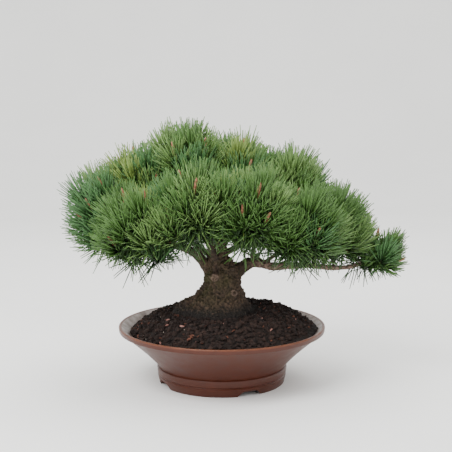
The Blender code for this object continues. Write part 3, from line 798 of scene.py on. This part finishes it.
class TubeBatch:
    """Gathers thin tapering tubes, closed at both ends, for one joined piece."""

    def __init__(self, sides: int) -> None:
        """Start with no tubes, each to come with that many sides."""
        self.sides = sides
        self.points: list[np.ndarray] = []
        self.triangles: list[np.ndarray] = []
        self.count = 0

    def add(self, line: list[Vector], radii: tuple[float, ...]) -> None:
        """Add one tube.

        Args:
            line: Its centre line.
            radii: Its radius at each point of the line.
        """
        side = (line[1] - line[0]).orthogonal().normalized()
        rings = []
        for i, (point, radius) in enumerate(zip(line, radii)):
            ahead = (line[min(i + 1, len(line) - 1)] - line[max(i - 1, 0)]).normalized()
            side = (side - ahead * side.dot(ahead)).normalized()
            across = ahead.cross(side)
            for k in range(self.sides):
                turn = 2 * math.pi * k / self.sides
                rings.append(point + (side * math.cos(turn) + across * math.sin(turn)) * radius)
        n, count = self.sides, len(line)
        faces = []
        for i in range(count - 1):
            for k in range(n):
                a, b = i * n + k, i * n + (k + 1) % n
                faces += [(a, b, b + n), (a, b + n, a + n)]
        foot, tip = count * n, count * n + 1
        rings += [line[0], line[-1]]
        for k in range(n):
            faces.append((foot, (k + 1) % n, k))
            faces.append((tip, (count - 1) * n + k, (count - 1) * n + (k + 1) % n))
        self.points.append(np.array([tuple(p) for p in rings]))
        self.triangles.append(np.array(faces) + self.count)
        self.count += len(rings)

    def build(self, name: str) -> bpy.types.Object:
        """Return the joined object of all the tubes."""
        return mesh_from_triangles(name, np.concatenate(self.points), np.concatenate(self.triangles))


@dataclass
class Framework:
    """The trunk and boughs under their bark, with knots, stubs and thin side branches."""

    trunk_route: tuple[tuple[float, ...], ...] = (
        (-3, 0, 92, 64),
        (-3, 0, 100, 57),
        (-2, 0, 108, 49),
        (-1, 0, 116, 40),
        (0, 0, 126, 33),
        (0.5, 0, 136, 28.5),
        (0.5, 0, 146, 26),
        (-0.5, 0, 157, 24.5),
        (-3, 0, 167, 19.5),
        (-5, 0, 178, 15),
        (-7, 1, 197, 13.3),
        (-11, 3, 225, 11),
        (-18, 4, 255, 8),
        (-27, 3, 280, 5),
    )
    left_route: tuple[tuple[float, ...], ...] = (
        (-5, 0, 138, 11),
        (-17, 0, 158, 10),
        (-33, -1, 178, 7.2),
        (-53, -3, 190.5, 6),
        (-80, -6, 197, 5),
    )
    right_route: tuple[tuple[float, ...], ...] = (
        (8, 0, 140, 12),
        (24, 0, 158, 10.5),
        (40, -1, 169, 8.2),
        (56, -2, 167.5, 7.2),
        (72, -3, 163.5, 6.4),
        (95, -3, 164.5, 5.4),
        (120, -3, 165.5, 4.5),
        (150, -2, 162, 4),
        (182, -1, 163.5, 3.4),
    )
    # Stubs of pruned shoots and thin side branches, each from its root on a limb to its end.
    stub_routes: tuple[tuple[tuple[float, ...], ...], ...] = (
        ((-6, -4, 186, 5), (-15, -8, 191, 4), (-20, -9, 193, 3)),
        ((50, -2, 176, 2.4), (32, -6, 184, 1.9), (25, -8, 192, 1.7), (17, -8, 197, 1.5)),
        ((50, -3, 172, 2.6), (56, -5, 187, 1.9), (61, -5, 194, 1.6)),
        ((129, -3, 166, 2.2), (128, -4, 176, 1.6)),
        ((143, -3, 163, 2.2), (144, -4, 172, 1.7)),
    )
    tip_radius: float = 2.4 * MM
    root_share: float = 0.5
    thickest_root: float = 5.5 * MM
    elbow_out: float = 0.55
    elbow_up: float = 0.35
    ridges: int = 7
    ridge_depth: float = 0.07
    ridge_turn: float = 0.6
    left_root: float = 0.16
    flare_top: float = 150 * MM
    flare_fade: float = 1.6
    most_flare: float = 1.4
    ground: float = 100 * MM
    voxel: float = 1.0 * MM
    plate: tuple[float, float, float] = (6 * MM, 6 * MM, 15 * MM)
    plate_depth: float = 2.2 * MM
    plate_level: float = 0.85  # a plate of this height neither rises nor sinks
    plate_gain: float = 1.6  # how much sooner plates reach full height than the other relief
    crack_slope: float = 2.2  # how steeply a plate rises from the crack round it
    lump: float = 17 * MM
    lump_depth: float = 3.0 * MM
    lump_level: float = 0.15
    grain: float = 2.6 * MM
    grain_depth: float = 1.5 * MM
    warp: float = 9 * MM
    warp_reach: float = 0.9  # how far the pattern of plates is pushed aside, in plates
    full_relief_radius: float = 22 * MM
    least_relief: float = 0.12
    seed: int = 3
    darkened_foot: float = 17 * MM  # how far up the trunk's foot the bark is drawn darker
    # Lightness of the bark: its least, what plates and grain add, and what the darker foot takes away.
    lightness: tuple[float, float, float, float] = (0.35, 0.45, 0.5, 0.9)
    moss_facing: tuple[float, float] = (-0.5, -0.35)  # it grows to the left and the front
    moss_spread: float = 0.3
    moss_height: float = 150 * MM
    moss_reach: float = 62 * MM
    pale_from: float = 36 * MM  # the right bough turns pale from here outwards
    pale_over: float = 22 * MM
    old_paleness: float = 0.08
    left_paleness: float = 0.28
    knot_paleness: float = 0.75
    knot_girth: float = 0.42
    knot_spread: float = 1.45

    def __post_init__(self) -> None:
        """Work out every limb by the source's rule."""
        self.limbs = {
            "trunk": self.carried_on(self.trunk_route, "apex"),
            "left": self.carried_on(self.left_route, "left_outer"),
            "right": self.carried_on(self.right_route, "right_tip"),
        }
        for name, parent, share in HIDDEN_BOUGHS:
            self.limbs[name] = self.hidden_bough(PAD_NAMED[name], self.limbs[parent], share)

    def carried_on(self, route: tuple[tuple[float, ...], ...], pad: str) -> Limb:
        """Return a listed route carried on to where it enters its pad."""
        end = PAD_NAMED[pad].entry(at(*route[-1][:3]))
        tip = (end - POT_AXIS) / MM
        return smooth_limb([*route, (*tip, self.tip_radius / MM)], 4)

    def hidden_bough(self, pad: Pad, parent: Limb, share: float) -> Limb:
        """Return a bough that leaves its parent, runs out level and turns up into its pad.

        Args:
            pad: The pad that it carries.
            parent: The limb that it grows from.
            share: Where on the parent, as a share of its length.

        Returns:
            The bough.
        """
        start, parent_radius = parent.at_share(share)
        tip = pad.entry(start)
        root_radius = min(parent_radius * self.root_share, self.thickest_root)
        level = Vector((tip.x - start.x, tip.y - start.y, 0))
        elbow = start + level * self.elbow_out + Vector((0, 0, (tip.z - start.z) * self.elbow_up))
        points, radii = [], []
        for t in steps_between(0, 1, 12):
            points.append(start * (1 - t) ** 2 + elbow * 2 * t * (1 - t) + tip * t**2)
            radii.append(root_radius + (self.tip_radius - root_radius) * t)
        return Limb(points, radii)

    def tube(self, name: str, limb: Limb) -> bpy.types.Object:
        """Model a limb as a bevelled curve made into a mesh.

        Args:
            name: The object's name.
            limb: The limb.

        Returns:
            The mesh object.
        """
        curve = bpy.data.curves.new(name, "CURVE")
        curve.dimensions = "3D"
        curve.twist_mode = "MINIMUM"
        curve.bevel_depth = 1.0
        curve.bevel_resolution = 8
        curve.use_fill_caps = True
        spline = curve.splines.new("POLY")
        spline.points.add(len(limb.points) - 1)
        for i, (point, radius) in enumerate(zip(limb.points, limb.radii)):
            spline.points[i].co = (*point, 1)
            spline.points[i].radius = radius
        obj = add_object(name, curve)
        bpy.ops.object.select_all(action="DESELECT")
        obj.select_set(True)
        bpy.context.view_layer.objects.active = obj
        bpy.ops.object.convert(target="MESH")
        return bpy.context.object

    def flare(self, trunk: bpy.types.Object) -> None:
        """Press the ridges of the roots into the foot of the trunk, by the source's rule."""
        axis_x = POT_AXIS.x + self.trunk_route[0][0] * MM
        for vertex in trunk.data.vertices:
            height = (vertex.co.z - self.ground) / (self.flare_top - self.ground)
            fade = min(max(0.0, 1 - height) ** self.flare_fade, self.most_flare)
            out_x, out_y = vertex.co.x - axis_x, vertex.co.y - POT_AXIS.y
            bearing = math.atan2(out_y, out_x)
            ridge = self.ridge_depth * math.cos(self.ridges * bearing + self.ridge_turn)
            left = self.left_root * max(0.0, -math.cos(bearing)) ** 2
            scale = 1 + fade * (ridge + left)
            vertex.co.x = axis_x + out_x * scale
            vertex.co.y = POT_AXIS.y + out_y * scale

    def joined(self, objects: list[bpy.types.Object], name: str) -> bpy.types.Object:
        """Join limbs into one skin with a voxel remesh, so that forks are closed smoothly.

        Args:
            objects: The limbs' meshes.
            name: Name of the joined piece.

        Returns:
            The joined object.
        """
        bpy.ops.object.select_all(action="DESELECT")
        for obj in objects:
            obj.select_set(True)
        bpy.context.view_layer.objects.active = objects[0]
        bpy.ops.object.join()
        skin = bpy.context.object
        skin.name = name
        remesh = skin.modifiers.new("one_skin", "REMESH")
        remesh.mode = "VOXEL"
        remesh.voxel_size = self.voxel
        bpy.ops.object.modifier_apply(modifier=remesh.name)
        smooth = skin.modifiers.new("soften", "SMOOTH")
        smooth.iterations = 4
        bpy.ops.object.modifier_apply(modifier=smooth.name)
        return skin

    def limb_radii(self, places: np.ndarray) -> tuple[np.ndarray, np.ndarray]:
        """Find the nearest limb to each place.

        Args:
            places: Points, one row each.

        Returns:
            The radius of the nearest limb there, and its number among the limbs.
        """
        nearest = np.full(len(places), 1e9)
        radius = np.zeros(len(places))
        index = np.zeros(len(places), int)
        for number, limb in enumerate(self.limbs.values()):
            for point, thickness in zip(limb.points, limb.radii):
                gap = np.linalg.norm(places - np.array(point), axis=1) - thickness
                closer = gap < nearest
                nearest[closer] = gap[closer]
                radius[closer] = thickness
                index[closer] = number
        return radius, index

    def relieve(self, skin: bpy.types.Object) -> None:
        """Raise plates and lumps of bark and sink the cracks, and note where moss and pale bark lie.

        Args:
            skin: The joined skin of the trunk and the boughs.
        """
        mesh = skin.data
        count = len(mesh.vertices)
        places = np.empty(count * 3)
        mesh.vertices.foreach_get("co", places)
        places = places.reshape(-1, 3)
        normals = np.empty(count * 3)
        mesh.vertices.foreach_get("normal", normals)
        normals = normals.reshape(-1, 3)
        radius, index = self.limb_radii(places)
        noise.seed_set(self.seed)  # noise_vector is seeded by the clock otherwise
        strength = np.clip(radius / self.full_relief_radius, self.least_relief, 1.0)
        relief = np.empty(count)
        moss = np.empty(count)
        least, by_plate, by_grain, by_foot = self.lightness
        for i, place in enumerate(places):
            x, y, z = place
            warp = noise.noise_vector(Vector(place) / self.warp) * self.warp_reach
            cell = Vector((x / self.plate[0], y / self.plate[1], z / self.plate[2])) + warp
            near, next_near = noise.voronoi(cell)[0][:2]
            plate = min(1.0, (next_near - near) * self.crack_slope)
            plate *= min(1.0, strength[i] * self.plate_gain)
            lump = noise.fractal(Vector(place) / self.lump, 0.7, 2.1, 3) - self.lump_level
            grain = noise.fractal(Vector(place) / self.grain, 0.8, 2.0, 3)
            # The bark is drawn darker towards the foot of the trunk.
            near_foot = max(0.0, 1 - (z - self.ground) / self.darkened_foot)
            relief[i] = least + by_plate * plate + by_grain * grain - by_foot * near_foot
            push = self.plate_depth * (plate - self.plate_level)
            push += self.lump_depth * lump
            push += self.grain_depth * grain
            places[i] += normals[i] * push * strength[i]
            side = sum(n * part for n, part in zip(normals[i], self.moss_facing)) + self.moss_spread
            band = max(0.0, 1 - abs(z - self.moss_height) / self.moss_reach)
            moss[i] = min(max(side, 0.0), 1.0) * band * (1 - near_foot)
        mesh.vertices.foreach_set("co", places.ravel())
        along = (places[:, 0] - POT_AXIS.x - self.pale_from) / self.pale_over
        names = list(self.limbs)
        left, right = names.index("left"), names.index("right")
        fixed = np.where(index == left, self.left_paleness, self.old_paleness)
        pale = np.where(index == right, np.clip(along, 0, 1), fixed)
        for x, z, size, depth in KNOTS:
            away = np.linalg.norm(places - np.array(at(x, -depth, z)), axis=1)
            pale[away < size * self.knot_spread * MM] = self.knot_paleness
        for name, values in (("relief", relief), ("moss", moss * (1 - pale)), ("pale", pale)):
            layer = mesh.attributes.new(name, "FLOAT", "POINT")
            layer.data.foreach_set("value", values.astype(np.float32))
        mesh.update()
        mesh.shade_smooth()

    def knots(self) -> list[bpy.types.Object]:
        """Model the scars of cut boughs as rings that stand out of the trunk.

        Returns:
            The rings.
        """
        made = []
        for x, z, radius, depth in KNOTS:
            bpy.ops.object.select_all(action="DESELECT")
            bpy.ops.mesh.primitive_torus_add(
                location=at(x, -depth, z),
                rotation=(math.pi / 2, 0, 0),
                major_radius=radius * MM,
                minor_radius=radius * self.knot_girth * MM,
                major_segments=24,
                minor_segments=10,
            )
            bpy.ops.object.transform_apply(location=True, rotation=True, scale=True)
            made.append(bpy.context.object)
        return made

    def build(self) -> None:
        """Model the trunk and all the boughs and dress them."""
        bark = PineBark().material()
        trunk = self.tube("trunk_core", self.limbs["trunk"])
        self.flare(trunk)
        boughs = [self.tube(name + "_core", limb) for name, limb in self.limbs.items() if name != "trunk"]
        stubs = [self.tube("stub", smooth_limb(list(route), 4)) for route in self.stub_routes]
        skin = self.joined([trunk, *boughs, *stubs, *self.knots()], "trunk_and_boughs")
        bpy.ops.object.mode_set(mode="EDIT")
        bpy.ops.mesh.select_all(action="SELECT")
        bpy.ops.mesh.bisect(
            plane_co=(0, 0, self.ground - 3 * MM), plane_no=(0, 0, 1), clear_inner=True, use_fill=True
        )
        bpy.ops.object.mode_set(mode="OBJECT")
        self.relieve(skin)
        dress(skin, bark, ["trunk", *("bough_" + name for name in self.limbs if name != "trunk")])


@dataclass
class Shoot:
    """One year's shoot: where it starts, its direction, and its brush of needles.

    Its candle has a length of its own, or 0 for none. An old one bears last year's spread needles.
    """

    base: Vector
    axis: Vector
    stem: float
    length: float
    needles: int
    green: Green
    candle: float
    old: bool = False


@dataclass
class Crown:
    """All the foliage: twigs that fork in each pad, shoots with needles, and candles."""

    limbs: dict[str, Limb]
    density: float = 0.55
    inner_share: float = 0.2
    outer_reach: float = 0.6
    inner_reach: float = 0.22
    reach_range: tuple[float, float] = (0.86, 1.08)
    forks: int = 5
    fork_share: float = 0.16
    middle: tuple[float, float, float] = (0, 0, 215)
    half_size: tuple[float, float, float] = (235, 146, 130)
    pad_lean: float = 0.32
    crown_lean: float = 0.75
    jitter: float = 0.26
    overlap: float = 0.42
    stem: float = 16 * MM
    stem_share: float = 0.28  # of a shoot's whole length
    stem_range: tuple[float, float] = (0.8, 1.2)
    needle: float = 43 * MM
    needle_share: float = 0.72
    needle_range: tuple[float, float] = (0.92, 1.06)
    needle_width: float = 0.85 * MM  # from a needle's middle line to its edge
    needle_rings: tuple[tuple[float, float], ...] = ((0.0, 0.8), (0.55, 1.0), (1.0, 0.55))
    needles_on_shoot: int = 100
    inner_fullness: float = 0.6
    old_needles: int = 34
    old_stem: float = 16 * MM
    old_length: float = 0.95
    old_shaded: float = 0.5  # share of them that is deep green
    neighbours: float = 112 * MM
    bridge_shoots: int = 3
    bridge_place: tuple[float, float] = (0.38, 0.62)
    bridge_rise: tuple[float, float] = (-0.25, 0.42)
    widest: float = math.radians(64)
    narrowest: float = math.radians(10)
    old_spread: tuple[float, float] = (math.radians(105), math.radians(62))
    parted: float = 2.3  # how much wider the inmost needles stand round a candle
    closing: float = 0.8  # how soon along the shoot the needles close in
    spread_jitter: float = math.radians(8)
    turn_jitter: float = 0.25
    curl: float = 0.14
    curl_range: tuple[float, float] = (0.4, 1.4)
    length_range: tuple[float, float] = (0.84, 1.04)
    sag: float = 0.12  # how far a twig's middle hangs back, as a share of its length
    # From this height up, lighter greens come more often: painted light on the crown's top.
    painted_light_start: float = 200 * MM
    painted_light_span: float = 130 * MM
    # Each green goes to draws below a share, to which height adds as painted light on the crown's top; the
    # rest get the middle green.
    green_shares: tuple[tuple[Green, float, float], ...] = (
        (Green.BLUE, 0.2, 0.0),
        (Green.LIGHT, 0.36, 0.12),
        (Green.YOUNG, 0.4, 0.15),
    )
    fork_radii: tuple[float, ...] = (2.4 * MM, 2.2 * MM, 1.9 * MM)
    twig_radii: tuple[float, ...] = (1.8 * MM, 1.6 * MM, 1.5 * MM, 1.1 * MM)
    candle_share: float = 0.4
    candle_range: tuple[float, float] = (4, 16)  # how much longer than the least, in millimetres
    candle_stations: tuple[float, ...] = (0, 0.25, 0.6, 0.9, 1)
    candle_outside: float = 22 * MM
    candle_radii: tuple[float, ...] = (1.4 * MM, 2.4 * MM, 2.5 * MM, 1.6 * MM, 0.4 * MM)
    most_needles: int = 13500  # in one piece, so that it stays under 200,000 triangles
    seed: int = 77

    def __post_init__(self) -> None:
        """Start the seeded draws, the twigs and the list of shoots."""
        self.rng = random.Random(self.seed)
        self.draws = np.random.default_rng(self.seed)
        self.twigs = TubeBatch(6)
        self.candles = TubeBatch(8)
        self.shoots: list[Shoot] = []

    def golden_direction(self, index: float, count: float, lowest: float) -> Vector:
        """Return direction number index of count, spread evenly from straight up down to lowest."""
        up = 1 - (index + 0.5) / count * (1 - lowest)
        level = math.sqrt(max(0.0, 1 - up * up))
        bearing = index * GOLDEN_ANGLE
        return Vector((level * math.cos(bearing), level * math.sin(bearing), up))

    def carrier(self, pad: Pad) -> Limb:
        """Return the limb that carries a pad."""
        others = {"left_outer": "left", "apex": "trunk", "right_tip": "right"}
        return self.limbs[others.get(pad.name, pad.name)]

    def deal_green(self, place: Vector) -> Green:
        """Return a shoot's green, lighter ones more often high up as painted light on the crown's top."""
        height = min(max((place.z - self.painted_light_start) / self.painted_light_span, 0), 1)
        roll = self.rng.random()
        for green, share, by_height in self.green_shares:
            if roll < share + by_height * height:
                return green
        return Green.MID

    def lean_at(self, place: Vector) -> Vector:
        """Return which way a shoot grows there: up, and out towards the rim of the crown."""
        offset = place - at(*self.middle)
        x, y, z = (part / (size * MM) for part, size in zip(offset, self.half_size))
        outwards = Vector((x * abs(x) ** 0.4, y * abs(y) ** 0.4, 0))
        return outwards * self.crown_lean + Vector((0, 0, 1 + 0.3 * z))

    def wobble(self, rng: random.Random) -> Vector:
        """Return a small random change of direction."""
        return Vector([rng.uniform(-1, 1) * self.jitter for _ in range(3)])

    def bear(self, shoot: Shoot, roots: list[Vector]) -> None:
        """Keep a shoot and grow its twig from the nearest of the roots."""
        self.shoots.append(shoot)
        self.grow_twig(min(roots, key=lambda root: (root - shoot.base).length), shoot)

    def grow_pad(self, pad: Pad) -> None:
        """Grow one pad: forks near its centre, twigs from them, and shoots out to its outline."""
        rng = random.Random(pad.seed)
        centre = at(*pad.centre)
        reach = Vector(pad.reach) * MM
        forks = []
        for i in range(self.forks):
            way = self.golden_direction(i, self.forks, -0.6)
            forks.append(centre + Vector([r * self.fork_share * part for r, part in zip(reach, way)]))
        entry = self.carrier(pad).points[-1]
        for fork in forks:
            middle = entry.lerp(fork, 0.5) + Vector((0, 0, -2 * MM))
            self.twigs.add([entry, middle, fork], self.fork_radii)
        total = min(self.stem + self.needle, 1.25 * min(reach))
        for inner in (False, True):
            share = self.inner_reach if inner else self.outer_reach
            count = round(pad.sprays * (self.inner_share if inner else self.density))
            for i in range(count):
                out = self.golden_direction(i, count, pad.lowest)
                wobble = self.wobble(rng)
                depth = share * rng.uniform(*self.reach_range)
                middle = centre + Vector([part * r * depth for part, r in zip(out, reach)])
                axis = (self.lean_at(middle) + out * self.pad_lean + wobble).normalized()
                if any(other.depth(middle) < self.overlap for other in PADS if other is not pad):
                    continue
                stem = total * self.stem_share * rng.uniform(*self.stem_range)
                length = total * self.needle_share * rng.uniform(*self.needle_range)
                base = middle - axis * total / 2
                green = Green.SHADE if inner else self.deal_green(middle)
                bears = not inner and rng.random() < self.candle_share
                candle = rng.uniform(*self.candle_range) * MM if bears else 0.0
                needles = round(self.needles_on_shoot * (self.inner_fullness if inner else 1))
                self.bear(Shoot(base, axis, stem, length, needles, green, candle), forks)

    def grow_twig(self, root: Vector, shoot: Shoot) -> None:
        """Grow a twig from its fork to a shoot's base, the shoot's own stem, and last year's needles.

        Args:
            root: Where the twig leaves its fork.
            shoot: The shoot that it carries.
        """
        base, axis = shoot.base, shoot.axis
        middle = root.lerp(base, 0.5) - axis * (base - root).length * self.sag
        self.twigs.add([root, middle, base, base + axis * shoot.stem], self.twig_radii)
        course = (base - middle).normalized()
        start, stem, length = base - course * self.old_stem, self.old_stem, shoot.length * self.old_length
        green = Green.SHADE if self.rng.random() < self.old_shaded else shoot.green
        self.shoots.append(Shoot(start, course, stem, length, self.old_needles, green, 0.0, True))

    def bridge_pads(self) -> None:
        """Grow shoots in the valleys between neighbouring pads, so that the crown is full."""
        for i, first in enumerate(PADS):
            for second in PADS[i + 1 :]:
                start, end = at(*first.centre), at(*second.centre)
                if (end - start).length > self.neighbours:
                    continue
                aside = (end - start).cross(Vector((0, 0, 1))).normalized()
                reach = (first.reach[2] + second.reach[2]) / 2 * MM
                for _ in range(self.bridge_shoots):
                    spot = start.lerp(end, self.rng.uniform(*self.bridge_place))
                    rise = reach * self.rng.uniform(*self.bridge_rise)
                    spot += aside * self.rng.uniform(-0.5, 0.5) * reach + Vector((0, 0, rise))
                    axis = (self.lean_at(spot) + self.wobble(self.rng)).normalized()
                    base = spot - axis * (self.stem + self.needle) / 2
                    green = self.deal_green(spot)
                    shoot = Shoot(base, axis, self.stem, self.needle, self.needles_on_shoot, green, 0.0)
                    self.bear(shoot, [start, end])

    def grow_candle(self, shoot: Shoot) -> None:
        """Set a scaly candle on the end of a shoot's stem."""
        start = shoot.base + shoot.axis * shoot.stem * 0.9
        end = start + shoot.axis * (shoot.candle + self.candle_outside)
        self.candles.add([start.lerp(end, t) for t in self.candle_stations], self.candle_radii)

    def needle_rows(self, shoot: Shoot) -> tuple[np.ndarray, np.ndarray, np.ndarray, np.ndarray]:
        """Work out the needles of one shoot.

        Args:
            shoot: The shoot.

        Returns:
            Each needle's root, direction, bend and length.
        """
        n = shoot.needles
        along = (np.arange(n) + 0.5) / n
        axis = np.array(shoot.axis)
        side = np.array(shoot.axis.orthogonal().normalized())
        across = np.cross(axis, side)
        turn = np.arange(n) * GOLDEN_ANGLE + self.draws.normal(0, self.turn_jitter, n)
        radial = np.cos(turn)[:, None] * side + np.sin(turn)[:, None] * across
        widest, narrowest = self.old_spread if shoot.old else (self.widest, self.narrowest)
        if shoot.candle:
            narrowest *= self.parted
        spread = widest + (narrowest - widest) * along**self.closing
        spread = np.abs(spread + self.draws.normal(0, self.spread_jitter, n))
        roots = np.array(shoot.base) + axis * (shoot.stem * along)[:, None] + radial * 0.9 * MM
        course = radial * np.sin(spread)[:, None] + axis * np.cos(spread)[:, None]
        curls = self.draws.uniform(*self.curl_range, n)[:, None]
        bend = (axis * 0.7 + np.array((0, 0, 0.5))) * self.curl * curls
        length = shoot.length * self.draws.uniform(*self.length_range, n)
        return roots, course, bend, length

    def needle_mesh(self, name: str, shoots: list[Shoot]) -> bpy.types.Object:
        """Make the joined needles of many shoots: each is three-sided and blunt at its tip.

        Args:
            name: The piece's name.
            shoots: The shoots.

        Returns:
            The joined object.
        """
        rows = [self.needle_rows(shoot) for shoot in shoots]
        roots, course, bend, length = (np.concatenate(part) for part in zip(*rows))
        n = len(roots)
        side = np.cross(course, self.draws.normal(size=(n, 3)))
        side /= np.linalg.norm(side, axis=1)[:, None]
        across = np.cross(course, side)
        points = np.empty((n, 9, 3))
        for ring, (share, girth) in enumerate(self.needle_rings):
            middle = roots + (course * share + bend * share**2) * length[:, None]
            for k in range(3):
                turn = 2 * math.pi * k / 3
                out = side * math.cos(turn) + across * math.sin(turn)
                points[:, ring * 3 + k] = middle + out * self.needle_width * girth
        faces = [(0, 2, 1), (6, 7, 8)]
        for k in range(3):
            for a, b in ((k, (k + 1) % 3), (k + 3, (k + 1) % 3 + 3)):
                faces += [(a, b, b + 3), (a, b + 3, a + 3)]
        triangles = np.array(faces)[None] + np.arange(n)[:, None, None] * 9
        piece = mesh_from_triangles(name, points.reshape(-1, 3), triangles.reshape(-1, 3))
        along = piece.data.attributes.new("along", "FLOAT", "POINT")
        shares = np.repeat([share for share, _ in self.needle_rings], 3)
        along.data.foreach_set("value", np.tile(shares, n).astype(np.float32))
        return piece

    def build(self) -> None:
        """Grow every pad and dress the needles, twigs and candles."""
        for pad in PADS:
            self.grow_pad(pad)
        self.bridge_pads()
        nodes = ["needles_" + pad.name for pad in PADS]
        for green in Green:
            shoots = [shoot for shoot in self.shoots if shoot.green is green]
            material = NEEDLE_FINISHES[green].material()
            most = self.most_needles // self.needles_on_shoot
            batches = [shoots[i : i + most] for i in range(0, len(shoots), most)]
            for number, batch in enumerate(batches):
                piece = self.needle_mesh(f"needles_{green.value}_{number}", batch)
                dress(piece, material, nodes)
        for shoot in self.shoots:
            if shoot.candle:
                self.grow_candle(shoot)
        dress(self.twigs.build("twigs"), TWIG_FINISH.material(), [])
        dress(self.candles.build("candles"), CANDLE_FINISH.material(), [])
        log.info("%d shoots", len(self.shoots))


@dataclass
class Studio:
    """A plain pale floor, soft light and the camera at the photograph's angle."""

    camera_place: tuple[float, float, float] = (5.8, -1500, 440)
    pitch: float = math.radians(8.33)
    lens: float = 86.7
    floor_side: float = 12.0
    wall_place: float = 3.2
    wall_height: float = 4.0
    cove: float = 1.4
    world: str = "#f4f4f3"
    world_strength: float = 1.75
    # Each light: its name, its place in metres from the pot's axis, its side and its power in watts.
    lights: tuple[tuple[str, tuple[float, float, float], float, float], ...] = (
        ("key_light", (-0.8, -1.0, 1.5), 1.0, 34),
        ("top_light", (0.3, 0.3, 1.8), 1.6, 24),
    )

    def add_light(self, name: str, place: tuple[float, float, float], size: float, power: float) -> None:
        """Add a square soft light that points at the middle of the tree.

        Args:
            name: The light's name.
            place: Its place in metres from the pot's axis.
            size: Its side in metres.
            power: Its power in watts.
        """
        data = bpy.data.lights.new(name, "AREA")
        data.size = size
        data.energy = power
        lamp = add_object(name, data)
        lamp.location = POT_AXIS + Vector(place)
        aim = at(0, 0, 180) - lamp.location
        lamp.rotation_euler = aim.to_track_quat("-Z", "Y").to_euler()

    def lay_floor(self) -> None:
        """Lay a pale sheet that runs back under the pot and curves up far behind it."""
        bpy.ops.object.select_all(action="DESELECT")
        bpy.ops.mesh.primitive_plane_add(
            size=self.floor_side, location=(POT_AXIS.x, self.wall_place - self.floor_side / 2, 0)
        )
        floor = bpy.context.object
        floor.name = "floor"
        bpy.ops.object.transform_apply(location=True, rotation=False, scale=False)
        mesh = floor.data
        bpy.ops.object.mode_set(mode="EDIT")
        bpy.ops.mesh.select_mode(type="EDGE")
        bpy.ops.mesh.select_all(action="DESELECT")
        bpy.ops.object.mode_set(mode="OBJECT")
        for edge in mesh.edges:
            edge.select = all(mesh.vertices[v].co.y > self.wall_place - MM for v in edge.vertices)
        bpy.ops.object.mode_set(mode="EDIT")
        bpy.ops.mesh.extrude_region_move(TRANSFORM_OT_translate={"value": (0, 0, self.wall_height)})
        bpy.ops.mesh.select_all(action="DESELECT")
        bpy.ops.object.mode_set(mode="OBJECT")
        for edge in mesh.edges:
            ends = [mesh.vertices[v].co for v in edge.vertices]
            edge.select = all(end.y > self.wall_place - MM and end.z < MM for end in ends)
        bpy.ops.object.mode_set(mode="EDIT")
        bpy.ops.mesh.bevel(offset=self.cove, segments=24, affect="EDGES")
        bpy.ops.object.mode_set(mode="OBJECT")
        mesh.shade_smooth()
        mesh.materials.append(FLOOR_FINISH.material())

    def build(self) -> None:
        """Lay the floor, light the scene and set up the camera."""
        self.lay_floor()
        world = bpy.data.worlds.new("studio")
        bpy.context.scene.world = world
        world.use_nodes = True
        background = world.node_tree.nodes["Background"]
        background.inputs["Color"].default_value = linear(self.world)
        background.inputs["Strength"].default_value = self.world_strength
        for light in self.lights:
            self.add_light(*light)
        data = bpy.data.cameras.new("camera")
        data.lens = self.lens
        data.sensor_width = 36
        camera = add_object("camera", data)
        camera.location = at(*self.camera_place)
        camera.rotation_euler = (math.pi / 2 - self.pitch, 0, 0)
        bpy.context.scene.camera = camera


def main() -> None:
    """Build the pot, the soil, the framework and the crown, then the studio."""
    logging.basicConfig(level=logging.INFO, format="%(name)s: %(message)s")
    pot = Pot()
    pot.build()
    Soil(pot).build()
    framework = Framework()
    framework.build()
    Crown(framework.limbs).build()
    Studio().build()


if __name__ == "__main__":
    main()
